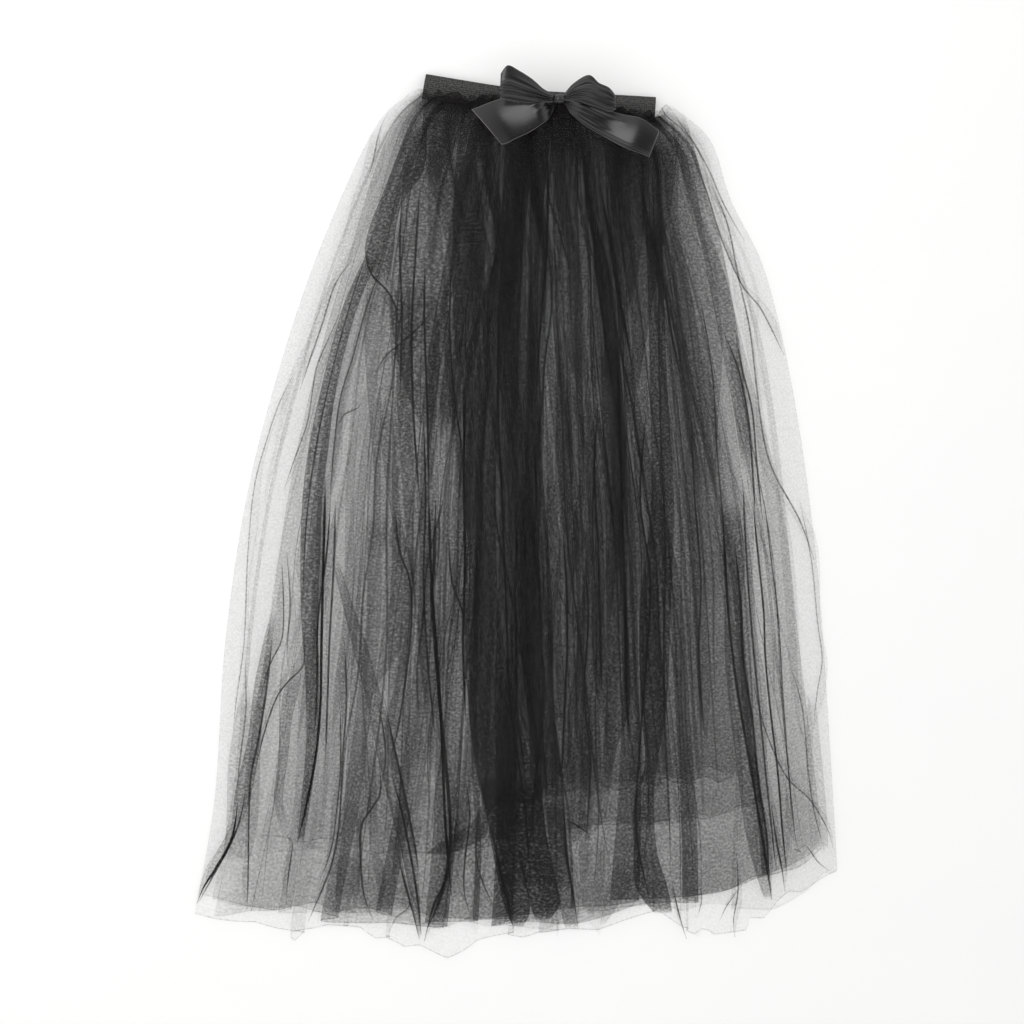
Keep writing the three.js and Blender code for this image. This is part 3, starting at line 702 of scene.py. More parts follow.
def random_strip(rng, layer, narrow):
    """A fold that follows the gathers, as a strip on the table, and leans and wanders a little."""
    hem = LAYERS[layer]["hem"][1] - rng.uniform(0.002, 0.02)
    start = rng.choice([0.0, 0.0, rng.uniform(0.05, 0.5)])
    end = hem if rng.uniform() < 0.6 else rng.uniform(start + 0.25, 1.0) * hem
    end = min(max(end, start + 0.2), hem)
    along = np.linspace(0, 1, 60)
    down = start + (end - start) * along
    middle = rng.uniform(0.04, 0.96)
    if not narrow and 0.1 < middle < 0.25:
        middle += 0.3  # the net lies smooth on the left, and the folds crowd to the right of it
    bend = rng.uniform(-0.035, 0.035) * np.sin(np.pi * rng.uniform(0.5, 1.6) * along + rng.uniform(0, 3))
    wiggle = rng.uniform(0.001, 0.005) * np.sin(np.pi * rng.uniform(4, 9) * along + rng.uniform(0, 3))
    lean = rng.normal(0, 0.1) * (down - 0.4)
    centre = np.clip(middle + bend + lean + wiggle, 0.03, 0.97)
    if narrow:
        widest = rng.uniform(1.1, 2.8)
        shape = np.clip(8 * np.minimum(along, 1 - along), 0.1, 1)
    else:
        widest = 7 + 38 * rng.uniform() ** 1.6
        opens = [along, 1 - along, np.sin(np.pi * along)][rng.randint(3)]
        shape = 0.2 + 0.8 * opens + 0.15 * np.sin(np.pi * rng.uniform(2, 5) * along)
    half = 0.5 * widest / PANEL_MM[layer] * shape
    slant = 0.0 if narrow else rng.uniform(-0.012, 0.012)
    lines = []
    for side in (-1, 1):
        level = down + side * slant * along
        left_edge, right_edge = edges_at(layer, level)
        share = np.clip(centre + side * half, 0.005, 0.995)
        lines.append(plan_at(left_edge + (right_edge - left_edge) * share, level))
    low, high = RANDOM_STRIPS[layer]["plies"]
    plies = rng.uniform(5, 26) * (0.6 if layer == "outer" else 1.0) if narrow else rng.uniform(low, high)
    edges = (-plies / 2, -plies / 2) if narrow else tuple(rng.uniform(0, 0.7 * high, 2))
    return strip_between(lines[0], lines[1], plies, edges, (35 if start > 0 else 0, 30 if end < hem else 0))


class HeightMap:
    """The height of one laid panel, kept in small squares, to lay strips on it."""

    CELL = 5.0

    def __init__(self, points):
        self.low = points.reshape(-1, 3)[:, :2].min(axis=0) - 2 * self.CELL
        size = ((points.reshape(-1, 3)[:, :2].max(axis=0) - self.low) / self.CELL).astype(int) + 4
        total, count = np.zeros(size), np.zeros(size)
        cells = ((points.reshape(-1, 3)[:, :2] - self.low) / self.CELL).astype(int)
        np.add.at(total, (cells[:, 0], cells[:, 1]), points.reshape(-1, 3)[:, 2])
        np.add.at(count, (cells[:, 0], cells[:, 1]), 1)
        for _ in range(6):  # spreads the heights into empty squares, and smooths them
            spread = sum(np.roll(total, step, axis) for axis in (0, 1) for step in (-1, 1))
            number = sum(np.roll(count, step, axis) for axis in (0, 1) for step in (-1, 1))
            empty = count == 0
            total, count = np.where(empty, spread, total), np.where(empty, number, count)
        self.height = total / np.maximum(count, 1)

    def at(self, places):
        cell = (places - self.low) / self.CELL - 0.5
        i = np.clip(cell.astype(int), 0, np.array(self.height.shape) - 2)
        f = np.clip(cell - i, 0, 1)
        h = self.height
        low = mix(h[i[..., 0], i[..., 1]], h[i[..., 0] + 1, i[..., 1]], f[..., 0])
        high = mix(h[i[..., 0], i[..., 1] + 1], h[i[..., 0] + 1, i[..., 1] + 1], f[..., 0])
        return mix(low, high, f[..., 1])


def strips_of(layer, side, rng, panel):
    """All the strips of one panel, as grids of points with their plies."""
    surface = HeightMap(panel)
    hem = panel[-1, ::3, :2]
    folds = [strip_between(hem, hem + [0.0, HEM_CURL_MM], HEM_PLIES[side], (0, -HEM_PLIES[side] / 2))]
    if side == "front":
        folds += [named_pane(fold) for fold in PANES.values() if fold["layer"] == layer]
        for fold in CREASES.values():
            if fold["layer"] == layer:
                folds += named_crease(fold)
    which = 0 if side == "front" else 1
    for _ in range(RANDOM_STRIPS[layer]["wide"][which]):
        folds.append(random_strip(rng, layer, False))
    for _ in range(RANDOM_STRIPS[layer]["narrow"][which]):
        folds.append(random_strip(rng, layer, True))
    laid = []
    for k, (places, plies) in enumerate(folds):
        lift = 0.25 + 0.3 * (k % 5) / 5
        arch = np.array([0.0, 0.15, 0.3, 0.15, 0.0])
        height = surface.at(places) + lift + arch
        laid.append((np.concatenate([places, height[..., None]], axis=-1), plies))
    return laid


# %% [markdown]
# ## One tube of net for each layer
# The front and the back are one piece of cloth, so each layer is a ring of columns: the front from left
# to right, a tight turn, the back from right to left, and a turn again. A cloth simulation would find its
# own folds, but not these ones, so the grid is laid as given. Columns crowd together at the knife folds,
# because a fold of three millimetres needs six points of its own.

# %% Columns and rows of one tube
PANEL_MM = {"outer": 600, "second": 520, "third": 440, "inner": 260}  # usual width of each panel
FRONT_COLUMNS = 400
BACK_COLUMNS = 240
ROWS = 96
TURN_STEPS = 3
SIDE_PLIES = 3.0  # the net is a little denser where it turns at the sides
STEEP_SHOWS = 0.35  # how much more net a steep bit of cloth shows from above
GATHER_DOWN = (0, 0.03, 0.1, 0.3, 0.75, 0.95)
GATHERED = {  # how much fuller the net lies at each of those heights
    "outer": (14.0, 5.0, 2.2, 1.0, 1.0, 1.0),
    "second": (6.0, 2.2, 1.2, 1.0, 1.1, 1.9),
    "third": (5.0, 2.3, 1.9, 1.0, 1.0, 1.2),
    "inner": (3.0, 1.4, 1.2, 1.0, 0.95, 0.95),
}
FULLNESS_ACROSS = (0, 0.16, 0.21, 0.37, 0.42, 0.8, 0.88, 1)
FULLNESS = {  # plies of net that lie over each other, at each of those shares across the skirt
    "outer": (1.15, 1.15, 1.15, 1.15, 1.15, 1.15, 1.15, 1.15),
    "second": (2.0, 2.1, 2.4, 3.0, 3.6, 3.6, 2.6, 1.8),
    "third": (1.0, 1.0, 1.3, 1.6, 2.4, 2.4, 1.3, 1.1),
    "inner": (3.2, 3.2, 3.2, 3.2, 3.8, 3.8, 3.0, 3.0),
}


def crowded_columns(count, folds):
    """Shares from 0 to 1 that lie closer together near the folds."""
    fine = np.linspace(0, 1, 4001)
    weight = np.ones_like(fine)
    for at, width, *_ in folds:
        weight += (7 / (count * width)) * np.exp(-(((fine - at) / (1.3 * width)) ** 2))
    total = np.concatenate([[0], np.cumsum((weight[1:] + weight[:-1]) / 2)])
    return np.interp(np.linspace(0, 1, count), total / total[-1], fine)


def lay_panel(layer, side, columns, folds, rng):
    """The places of one panel's grid in millimetres, and its plies of net."""
    place_in_stack = [k for k, row in enumerate(STACK) if row[:2] == (layer, side)][0]
    swell = STACK[place_in_stack][2]
    rows = np.linspace(0, 1, ROWS)
    cloth, row_share = np.meshgrid(columns, rows)
    hem = across_curve(LAYERS[layer]["hem"], cloth)
    hang = hem_hang(layer, side, cloth, rng) / SKIRT_MM
    ruffle = 7.0 * stretched_noise(rng, cloth, 0 * cloth, 40, 1) / SKIRT_MM
    down = row_share * hem + hang * ease(row_share, 0.86, 1.0) + ruffle * (1 - ease(row_share, 0.0, 0.03))
    left, right = edges_at(layer, np.clip(down, 0, 1))
    inside_edge = ease(np.minimum(cloth, 1 - cloth), 0.0, 0.06)
    warp = 0.03 * stretched_noise(rng, cloth, down, 4, 3) * ease(down, 0.02, 0.3)
    shift, lift, turned = fold_over(cloth, down, folds, PANEL_MM[layer])
    share = cloth + inside_edge * (warp + shift)
    across = left + (right - left) * share
    place = plan_at(across, down)
    soft, thin = streaks(rng, share, down, 1.0 if layer == "outer" else 0.8)
    calm = ease(np.minimum(cloth, 1 - cloth), 0.0, 0.10 if layer == "outer" else 0.05)
    gathered = 1 - ease(down, 0.0, 0.24)
    full = np.interp(across, FULLNESS_ACROSS, FULLNESS[layer])
    full = full * mix(1.0, np.interp(down, GATHER_DOWN, GATHERED[layer]), calm)
    plies = full * np.exp(mix(0.05, 0.6, gathered) * soft * mix(0.3, 1.0, calm))
    plies = plies + (mix(0.1, 1.4, gathered) * thin**2 + 0.35 * turned) * calm
    wave = 0.45 + 0.3 * soft + 0.2 * thin + 0.15 * lift
    base = stack_height(place_in_stack, across, down)
    room = swell_at(max(swell, 0.6), down)
    height = base + WALL / 2 + room * np.clip(0.8 * wave * inside_edge, 0, 1.1)
    return np.concatenate([place, height[..., None]], axis=-1), plies


def steepness(points):
    """How many times its own shadow each bit of cloth is, where it stands up from the table."""
    along = np.gradient(points, axis=1)
    down = np.gradient(points, axis=0)
    face = np.cross(down, along)
    size = np.linalg.norm(face, axis=-1)
    return np.clip(size / np.maximum(np.abs(face[..., 2]), 0.12 * size), 1, 8)


def tube_of_net(layer, front_folds, back_folds, rng):
    """One layer as a mesh: front, turn, back, turn. Its attribute plies says how dense the net is."""
    front_columns = crowded_columns(FRONT_COLUMNS, front_folds)
    back_columns = crowded_columns(BACK_COLUMNS, back_folds)
    front, front_plies = lay_panel(layer, "front", front_columns, front_folds, rng)
    back, back_plies = lay_panel(layer, "back", back_columns, back_folds, rng)
    front_plies = front_plies * steepness(front) ** STEEP_SHOWS
    back_plies = back_plies * steepness(back) ** STEEP_SHOWS
    strips = strips_of(layer, "front", rng, front) + strips_of(layer, "back", rng, back)
    back, back_plies = back[:, ::-1], back_plies[:, ::-1]

    def turn(start, end, outward):
        """A few points that carry the cloth round its side fold."""
        steps = []
        for k in range(1, TURN_STEPS + 1):
            angle = math.pi * k / (TURN_STEPS + 1)
            middle, half = (start + end) / 2, (start - end) / 2
            point = middle + half * math.cos(angle)
            point[:, 0] += outward * math.sin(angle) * np.clip(np.abs(half[:, 2]), 0.3, 1.5)
            steps.append(point)
        return np.stack(steps, axis=1)

    right_turn = turn(front[:, -1], back[:, 0], 1)
    left_turn = turn(back[:, -1], front[:, 0], -1)
    points = np.concatenate([front, right_turn, back, left_turn], axis=1)
    side_plies = np.full((ROWS, TURN_STEPS), SIDE_PLIES)
    plies = np.concatenate([front_plies, side_plies, back_plies, side_plies], axis=1)

    around = np.linalg.norm(np.diff(points[ROWS // 2], axis=0, append=points[ROWS // 2][:1]), axis=1)
    cloth_x = np.concatenate([[0], np.cumsum(around)])
    cloth_y = np.linspace(0, SKIRT_MM, ROWS)
    return points, plies, cloth_x, cloth_y, strips


def mesh_from_grid(name, points, ring, cloth_x, cloth_y, values=None, value_name="plies"):
    """A mesh object from a grid of points in millimetres, with cloth coordinates in metres as its UVs."""
    rows, columns = points.shape[:2]
    cells = columns if ring else columns - 1
    r, c = np.meshgrid(np.arange(rows - 1), np.arange(cells), indexing="ij")
    after = (c + 1) % columns
    faces = np.stack([r * columns + c, (r + 1) * columns + c, (r + 1) * columns + after,
                      r * columns + after], axis=-1).reshape(-1, 4)
    mesh = bpy.data.meshes.new(name)
    mesh.vertices.add(rows * columns)
    mesh.vertices.foreach_set("co", (points.reshape(-1, 3) * MM).ravel())
    mesh.loops.add(faces.size)
    mesh.loops.foreach_set("vertex_index", faces.ravel())
    mesh.polygons.add(len(faces))
    mesh.polygons.foreach_set("loop_start", np.arange(0, faces.size, 4))
    mesh.polygons.foreach_set("loop_total", np.full(len(faces), 4))
    mesh.polygons.foreach_set("use_smooth", np.ones(len(faces), bool))
    uv = mesh.uv_layers.new(name="cloth")
    x = np.stack([cloth_x[c], cloth_x[c], cloth_x[c + 1], cloth_x[c + 1]], axis=-1).reshape(-1)
    y = np.stack([cloth_y[r], cloth_y[r + 1], cloth_y[r + 1], cloth_y[r]], axis=-1).reshape(-1)
    uv.data.foreach_set("uv", (np.stack([x, y], axis=-1) * MM).ravel())
    mesh.update()
    mesh.validate()
    if values is not None:
        layer = mesh.attributes.new(value_name, "FLOAT", "POINT")
        layer.data.foreach_set("value", values.reshape(-1).astype(np.float32))
    made = bpy.data.objects.new(name, mesh)
    bpy.context.collection.objects.link(made)
    return made


STRIP_STEP_MM = 37.0  # each strip is cut from another place in the net


def add_strips(tube, strips):
    """Joins the strips to their tube as more cloth of the same net."""
    pieces = []
    for k, (points, plies) in enumerate(strips):
        middle = points[:, points.shape[1] // 2]
        along = np.concatenate([[0], np.cumsum(np.linalg.norm(np.diff(middle, axis=0), axis=1))])
        widest = np.linalg.norm(points[:, -1] - points[:, 0], axis=1).max()
        over = np.linspace(0, widest, points.shape[1]) + STRIP_STEP_MM * k
        pieces.append(mesh_from_grid(f"strip_{k}", points, False, over, along, plies))
    with bpy.context.temp_override(active_object=tube, selected_editable_objects=[tube, *pieces]):
        bpy.ops.object.join()


# %% [markdown]
# ## Tulle: fine hexagonal nylon net
# Real tulle is warp-knitted nylon with holes a millimetre or two across. From three metres it is not a
# pattern any more but a smoke: each ply hides about a twentieth of what is behind it. So the material
# sets how much one ply hides, with the net drawn as cells, and raises it to the number of plies that the
# mesh says lie there. Thread that is dyed black still sends a little light back, a warm dark grey.

# %% Material: soft nylon tulle, dyed black
PLY_COVER = 0.052  # how much one ply of this net hides, seen square on
NET_CELL_MM = 2.6  # the real holes are about 1.3 mm; drawn twice as coarse to show at all
MOTTLE_MM = 11.0  # soft net is a little uneven over about a finger's width

tulle, tree = new_material("soft nylon tulle dyed black")
cloth_uv = add_node(tree, "ShaderNodeUVMap", {"uv_map": "cloth"})
plies = add_node(tree, "ShaderNodeAttribute", {"attribute_name": "plies"})
cells = add_node(tree, "ShaderNodeTexNoise", {"noise_dimensions": "2D"}, Vector=cloth_uv.outputs[0],
                 Scale=1 / (NET_CELL_MM * MM), Detail=0.0)
thread = add_node(tree, "ShaderNodeMapRange", Value=cells.outputs["Fac"], From_Min=0.3, From_Max=0.7,
                  To_Min=0.38, To_Max=1.62)
mottle = add_node(tree, "ShaderNodeTexNoise", {"noise_dimensions": "2D"}, Vector=cloth_uv.outputs[0],
                  Scale=1 / (MOTTLE_MM * MM), Detail=0.0)
patchy = add_node(tree, "ShaderNodeMapRange", Value=mottle.outputs["Fac"], From_Min=0.3, From_Max=0.7,
                  To_Min=0.88, To_Max=1.12)
pattern = calculate(tree, "MULTIPLY", thread.outputs[0], patchy.outputs[0])
# Where more plies lie over each other, their holes cover for each other and the net looks smoother.
deep = calculate(tree, "MAXIMUM", plies.outputs["Fac"], 1.0)
evened = calculate(tree, "POWER", deep, -0.12)
uneven = calculate(tree, "SUBTRACT", pattern, 1.0)
shown = calculate(tree, "MULTIPLY_ADD", uneven, evened, 1.0)
through = calculate(tree, "MULTIPLY", shown, plies.outputs["Fac"])
passed = calculate(tree, "POWER", 1.0 - PLY_COVER, through)
hidden = add_node(tree, "ShaderNodeMath", {"operation": "SUBTRACT", "use_clamp": True}, i0=1.0, i1=passed)
# The net's dark grey is lighter in its denser cells: partly the thread's own uneven tone, and partly painted
# glints of light on the fibres.
dye_and_glints = add_node(tree, "ShaderNodeMix", {"data_type": "RGBA"}, i0=cells.outputs["Fac"],
               i6=linear("030303"), i7=linear("1E1C1C"))
net = add_node(tree, "ShaderNodeBsdfPrincipled", Base_Color=dye_and_glints.outputs[2], Roughness=0.62, IOR=1.53,
               Specular_IOR_Level=0.05, Alpha=hidden.outputs[0])
add_node(tree, "ShaderNodeOutputMaterial", Surface=net.outputs[0])

# %% Lay the four tubes of net
TUBES = [  # how many random folds lie in the front and the back, and half the width of the widest in mm
    {"layer": "inner", "front": 9, "back": 6, "widest": 16, "seed": 11},
    {"layer": "third", "front": 12, "back": 9, "widest": 20, "seed": 23},
    {"layer": "second", "front": 13, "back": 10, "widest": 20, "seed": 37},
    {"layer": "outer", "front": 14, "back": 10, "widest": 18, "seed": 41},
]

for row in TUBES:
    layer = row["layer"]
    rng = np.random.RandomState(row["seed"])
    front_folds = random_folds(rng, row["front"], row["widest"], PANEL_MM[layer])
    back_folds = random_folds(rng, row["back"], row["widest"], PANEL_MM[layer])
    points, density, cloth_x, cloth_y, strips = tube_of_net(layer, front_folds, back_folds, rng)
    tube = mesh_from_grid("tulle_" + layer, points, True, cloth_x, cloth_y, density)
    add_strips(tube, strips)
    tube.data.materials.append(tulle)
    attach(tube, "root")
    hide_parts(layer + "_front", layer + "_back")
    area = sum(face.area for face in tube.data.polygons)
    print(tube.name, "faces", len(tube.data.polygons), "area in square metres", round(area, 3))

# %% [markdown]
# ## Waistband
# A knitted elastic, thirty millimetres tall, joined to a ring and lying double. It is stiff enough to
# keep its width, so it is a flattened loop with round ends and a real thickness. Cords of rubber run
# along it under the yarn, which is why its face is ribbed.

# %% The elastic loop
BAND_TOP = [(-105, 521), (-19, 507), (35, 501), (113, 497), (164, 494)]
ELASTIC_MM = 30.0
ELASTIC_THICK_MM = 1.3
band_curve, band_mm = smooth_curve(BAND_TOP)
band_base = 4 * (WALL + CLEAR) + 3 * 0.8 * 0.55
band_middle = band_base + BAND_SLAB / 2


def band_point(along, fall, out, up):
    """A point of the band: along its length, down from its top edge, past its end, and up."""
    edge = on_curve(band_curve, along)
    before, after = (on_curve(band_curve, np.clip(along + step, 0, 1)) for step in (-0.01, 0.01))
    slope = (after - before) / np.hypot(*(after - before))
    lowest = 0.95 + ELASTIC_WALL / 2 + CLEAR
    rise = mix(0.35, 1.0, ease(np.array(fall), 0, 10))
    z = mix(lowest, band_middle, rise) + up
    x = edge[0] + slope[0] * out + slope[1] * fall
    y = edge[1] + slope[1] * out - slope[0] * fall
    return np.array([x, y, z])


def band_grid():
    """The middle surface of the elastic, once round the flattened loop."""
    ply_steps, end_steps, rows = 120, 8, 25
    half = (ELASTIC_WALL + CLEAR) / 2
    loop = [(i / ply_steps, 0.0, half) for i in range(ply_steps)]
    loop += [(1.0, half * math.sin(math.pi * i / end_steps), half * math.cos(math.pi * i / end_steps))
             for i in range(end_steps)]
    loop += [(1 - i / ply_steps, 0.0, -half) for i in range(ply_steps)]
    loop += [(0.0, -half * math.sin(math.pi * i / end_steps), -half * math.cos(math.pi * i / end_steps))
             for i in range(end_steps)]
    return np.array([[band_point(a, ELASTIC_MM * r / (rows - 1), o, u) for a, o, u in loop]
                     for r in range(rows)])


points = band_grid()
around = np.linalg.norm(np.diff(points[0], axis=0, append=points[0][:1]), axis=1)
waistband = mesh_from_grid("waist_elastic", points, True, np.concatenate([[0], np.cumsum(around)]),
                           np.linspace(0, ELASTIC_MM, points.shape[0]))
thicken = waistband.modifiers.new("thickness", "SOLIDIFY")
thicken.thickness = ELASTIC_THICK_MM * MM
thicken.offset = 0.0
print("elastic, once round in mm:", round(around.sum()))

# %% Material: ribbed knitted elastic
RIB_MM = 2.4  # the cords lie about 1.2 mm apart; drawn twice as wide to show

elastic, tree = new_material("ribbed knitted elastic")
cloth_uv = add_node(tree, "ShaderNodeUVMap", {"uv_map": "cloth"})
ribs = add_node(tree, "ShaderNodeTexWave", {"wave_type": "BANDS", "bands_direction": "Y"},
                Vector=cloth_uv.outputs[0], Scale=math.pi / (10 * RIB_MM * MM), Distortion=0.4, Detail=1.0)
loops = add_node(tree, "ShaderNodeTexWave", {"wave_type": "BANDS", "bands_direction": "X"},
                 Vector=cloth_uv.outputs[0], Scale=math.pi / (10 * RIB_MM * MM), Distortion=1.5, Detail=2.0)
fuzz = add_node(tree, "ShaderNodeTexNoise", Vector=cloth_uv.outputs[0], Scale=1 / (2.0 * MM), Detail=3.0)
low_ribs = calculate(tree, "MULTIPLY", ribs.outputs["Fac"], 0.4)
knit = calculate(tree, "MULTIPLY_ADD", loops.outputs["Fac"], 0.15, low_ribs)
knit = calculate(tree, "MULTIPLY_ADD", fuzz.outputs["Fac"], 2.4, knit)
yarn = add_node(tree, "ShaderNodeMapRange", Value=knit, From_Min=1.0, From_Max=2.0)
colour = add_node(tree, "ShaderNodeMix", {"data_type": "RGBA"}, i0=yarn.outputs[0],
                  i6=linear("181718"), i7=linear("585756"))
relief = add_node(tree, "ShaderNodeBump", Strength=0.5, Distance=0.4 * MM, Height=knit)
rough = add_node(tree, "ShaderNodeMapRange", Value=fuzz.outputs["Fac"], To_Min=0.75, To_Max=0.95)
weave = add_node(tree, "ShaderNodeBsdfPrincipled", Base_Color=colour.outputs[2], Roughness=rough.outputs[0],
                 Specular_IOR_Level=0.3, Normal=relief.outputs[0])
add_node(tree, "ShaderNodeOutputMaterial", Surface=weave.outputs[0])
waistband.data.materials.append(elastic)
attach(waistband, "root")
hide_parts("waistband")

# %% [markdown]
# ## The bow
# A fifty millimetre satin ribbon is tied in a flat bow: two loops, two tails and a knot that squeezes
# the ribbon to a third of its width. Ribbon can only bend, not stretch, so pleats start at the knot
# and run out into each piece, and fade where the ribbon opens to its full width.

# %% Ribbon pieces out from the knot
# Each row is one line across the ribbon: its upper end and its lower end, in the photograph's pixels.
RIBBON_MM = 50.0
RIBBON_THICK_MM = 0.5
KNOT_AROUND_MM, KNOT_LONG_MM = 38, 16
KNOT_X, KNOT_Y = 51.0, 487.0
BOW_REST = float(stack_height(8, np.array([0.57]), np.array([0.0]))[0]) + 0.1
KNOT_Z = BOW_REST + 6.4
LINES = {
    "bow_tail_left": [(554, 99, 554, 105), (546, 95, 552, 115), (534, 94, 545, 125), (517, 97, 530, 135),
                      (500, 101, 515, 142), (486, 106, 508, 146), (472, 112, 502, 148)],
    "bow_tail_right": [(564, 99, 564, 105), (575, 102, 571, 116), (590, 106, 584, 127), (606, 112, 602, 138),
                       (623, 117, 620, 149), (641, 122, 634, 155), (658, 135, 648, 160)],
    "bow_loop_left": [(554, 97, 554, 105), (544, 93, 545, 106), (532, 83, 534, 107), (519, 75, 522, 106),
                      (508, 70, 509, 104), (501, 78, 500, 102)],
    "bow_loop_right": [(564, 97, 564, 104), (573, 87, 575, 104), (588, 79, 588, 108), (598, 87, 600, 112),
                       (608, 92, 609, 115), (614, 99, 615, 113)],
}
PLEATS = {  # where each pleat lies across (-1 to 1), its half width, its height in mm, how far out it runs
    "bow_tail_left": [(0.62, 0.16, 1.6, 0.4), (0.2, 0.14, 2.6, 0.5), (-0.25, 0.16, 2.8, 0.42),
                      (-0.7, 0.14, 1.8, 0.32)],
    "bow_tail_right": [(0.55, 0.2, 3.0, 0.75), (0.05, 0.18, 2.6, 0.5), (-0.45, 0.16, 2.6, 0.62),
                       (-0.8, 0.1, 1.2, 1.3)],
    "bow_loop_left": [(0.45, 0.16, 1.2, 0.9), (0.0, 0.12, 2.8, 1.4), (-0.36, 0.1, 2.8, 1.6),
                      (-0.7, 0.1, 2.6, 1.6)],
    "bow_loop_right": [(0.6, 0.12, 1.4, 1.1), (0.1, 0.14, 2.4, 1.0), (-0.3, 0.1, 2.8, 1.3),
                       (-0.66, 0.1, 2.4, 1.4)],
}
LOOP_PUFF_MM = 6.5  # how far a loop's two plies stand from its middle
# How high a tail stands over its upper edge in mm, and how far that ridge lies below its middle.
ARCH = {"bow_tail_left": (9.0, 0.6), "bow_tail_right": (3.0, 0.2)}
# The long waves of a tail: their height in mm, and where they start.
ROLL = {"bow_tail_left": (2.4, -0.7), "bow_tail_right": (5.4, 1.3)}


def ribbon_place(name, out, side):
    """A place on the table: how far out from the knot (0 to 1) and across the ribbon (-1 to 1)."""
    rows = np.array(LINES[name], float)
    steps = np.linspace(0, 1, len(rows))
    upper = on_table(rows[:, :2])
    lower = on_table(rows[:, 2:])
    ends = []
    for edge in (lower, upper):
        table = smooth_curve(edge, 10)[0]
        knots = np.linspace(0, 1, len(table))
        ends.append(np.stack([np.interp(out, knots, table[:, k]) for k in (1, 2)], axis=-1))
    return mix(ends[0], ends[1], (side[..., None] + 1) / 2)


def pleated(name, out, side):
    """Height of the pleats: sharp ridges that start at the knot and fade where the ribbon opens."""
    height = np.zeros_like(out)
    for at, half, tall, reach in PLEATS[name]:
        ridge = np.exp(-np.abs((side - at * mix(0.8, 1.0, out)) / half) ** 1.3)
        height += tall * ridge * np.minimum(1, out / 0.12) * (1 - ease(out, 0.55 * reach, reach))
    return height


def tail_grid(name, rows=90, columns=60):
    out, side = np.meshgrid(np.linspace(0, 1, rows), np.linspace(1, -1, columns), indexing="ij")
    opened = ease(out, 0.1, 0.4)
    tall, lean = ARCH[name]
    arch = tall * (1 - ((side + lean) / (1 + lean)) ** 2) * opened
    tall, start = ROLL[name]
    roll = tall * (1 + np.sin(7.5 * out - 0.4 * side + start)) * opened
    z = BOW_REST + 0.6 + arch + roll + pleated(name, out, side) + 2.0 * (1 - out) ** 3
    return np.concatenate([ribbon_place(name, out, side), z[..., None]], axis=-1)


def loop_grid(name, rows=150, columns=60):
    turn, side = np.meshgrid(np.linspace(0, math.pi, rows), np.linspace(1, -1, columns), indexing="ij")
    out = np.sin(turn) ** 0.9
    ply = -np.cos(turn) * (0.9 + LOOP_PUFF_MM * np.sin(turn) ** 0.8)
    top = ease(turn, 0.4 * math.pi, 0.65 * math.pi)
    pleats = pleated(name, out, side) * mix(0.4, 1.0, top)
    z = KNOT_Z + 1.5 + 7.0 * out + ply + pleats - 1.5 * np.abs(side) ** 3 * top
    return np.concatenate([ribbon_place(name, out, side), z[..., None]], axis=-1)


def ribbon_lengths(grid):
    """Distances in millimetres along and across the middle of a piece of ribbon."""
    middle = grid[:, grid.shape[1] // 2]
    along = np.concatenate([[0], np.cumsum(np.linalg.norm(np.diff(middle, axis=0), axis=1))])
    return along, np.linspace(0, RIBBON_MM, grid.shape[1] + 1)


def edge_highlight_of(grid, is_loop):
    """How strongly each point shows the painted edge highlight: the woven edges, and a tail's hemmed end
    more strongly.
    """
    edge = np.zeros(grid.shape[:2])
    edge[:, (0, -1)] = 0.6
    if not is_loop:
        edge[-1] = 1.0
    return edge


ribbon_pieces = []
for name in LINES:
    is_loop = name.startswith("bow_loop")
    grid = loop_grid(name) if is_loop else tail_grid(name)
    along, over = ribbon_lengths(grid)
    piece = mesh_from_grid(name + "_satin", grid, False, over, along, edge_highlight_of(grid, is_loop), "edge_highlight")
    thick = piece.modifiers.new("ribbon thickness", "SOLIDIFY")
    thick.thickness = RIBBON_THICK_MM * MM
    thick.offset = 0.0
    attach(piece, "root")
    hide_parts(name)
    ribbon_pieces.append((piece, along[-1]))
    print(name, "ribbon length in mm", round(along[-1]))


# %% The knot
def knot_grid(rows=48, columns=72):
    """A short roll of ribbon round the middle, pulled in at its ends, with pleats along its turn."""
    grid = []
    for r in range(rows):
        tilt = math.pi * (r / (rows - 1) - 0.5)
        line = []
        for c in range(columns):
            spin = 2 * math.pi * c / columns
            pleat = 1 + 0.07 * math.cos(9 * tilt + 0.8 * math.sin(spin))
            wide = math.cos(tilt) ** 0.6
            line.append([KNOT_X + 7.5 * math.sin(tilt) + 0.6 * math.sin(2 * spin) * wide,
                         KNOT_Y + 6.0 * wide * math.cos(spin) * pleat,
                         KNOT_Z + 1.0 + 5.5 * wide * math.sin(spin) * pleat])
        grid.append(line)
    return np.array(grid)


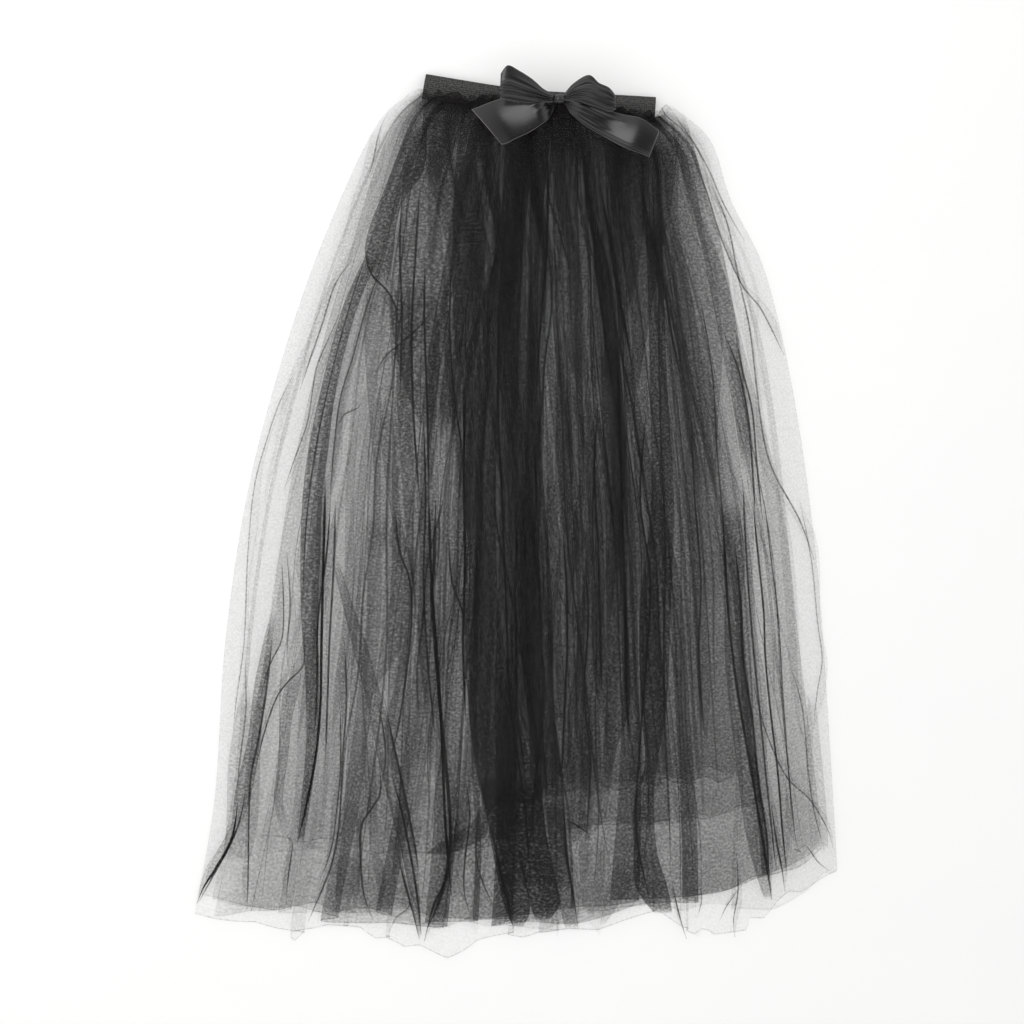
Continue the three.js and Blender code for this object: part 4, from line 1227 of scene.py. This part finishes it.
grid = knot_grid()
knot = mesh_from_grid("bow_knot_satin", grid, True, np.linspace(0, KNOT_AROUND_MM, grid.shape[1] + 1),
                      np.linspace(0, KNOT_LONG_MM, grid.shape[0]), np.zeros(grid.shape[:2]), "edge_highlight")
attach(knot, "root")
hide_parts("bow_knot")

# %% [markdown]
# ## Satin: polyester ribbon
# In a satin weave the long threads lie side by side with few crossings, so it shines along one
# direction and stays dark in the other. Fine lines along the ribbon and a fairly low roughness give
# that. The woven edges and a tail's hemmed end are lighter in a line a millimetre wide: a painted
# highlight where the rolled edge catches the light.

# %% Material: black polyester satin
THREAD_MM = 0.9  # real threads are a tenth of this; drawn coarse so that the shine breaks up

satin, tree = new_material("black polyester satin")
cloth_uv = add_node(tree, "ShaderNodeUVMap", {"uv_map": "cloth"})
stretch = add_node(tree, "ShaderNodeMapping", Vector=cloth_uv.outputs[0],
                   Scale=(1 / (THREAD_MM * MM), 1 / (60 * THREAD_MM * MM), 1.0))
threads = add_node(tree, "ShaderNodeTexNoise", {"noise_dimensions": "2D"}, Vector=stretch.outputs[0],
                   Scale=1.0, Detail=3.0, Roughness=0.6)
dye_and_glints = add_node(tree, "ShaderNodeMix", {"data_type": "RGBA"}, i0=threads.outputs["Fac"],
               i6=linear("080707"), i7=linear("131111"))
# The light grey along the woven edges and the hemmed end is a painted highlight, where a rolled edge catches
# the light.
edge_highlight = add_node(tree, "ShaderNodeAttribute", {"attribute_name": "edge_highlight"})
highlighted_edge = add_node(tree, "ShaderNodeMix", {"data_type": "RGBA"}, i0=edge_highlight.outputs["Fac"], i6=dye_and_glints.outputs[2],
                 i7=linear("7A7876"))
sheen_rough = add_node(tree, "ShaderNodeMapRange", Value=threads.outputs["Fac"], To_Min=0.2, To_Max=0.32)
lines = add_node(tree, "ShaderNodeBump", Strength=0.35, Distance=0.1 * MM, Height=threads.outputs["Fac"])
ribbon = add_node(tree, "ShaderNodeBsdfPrincipled", Base_Color=highlighted_edge.outputs[2],
                  Roughness=sheen_rough.outputs[0], IOR=1.54, Specular_IOR_Level=0.5,
                  Normal=lines.outputs[0])
add_node(tree, "ShaderNodeOutputMaterial", Surface=ribbon.outputs[0])
for piece, _ in ribbon_pieces:
    piece.data.materials.append(satin)
knot.data.materials.append(satin)
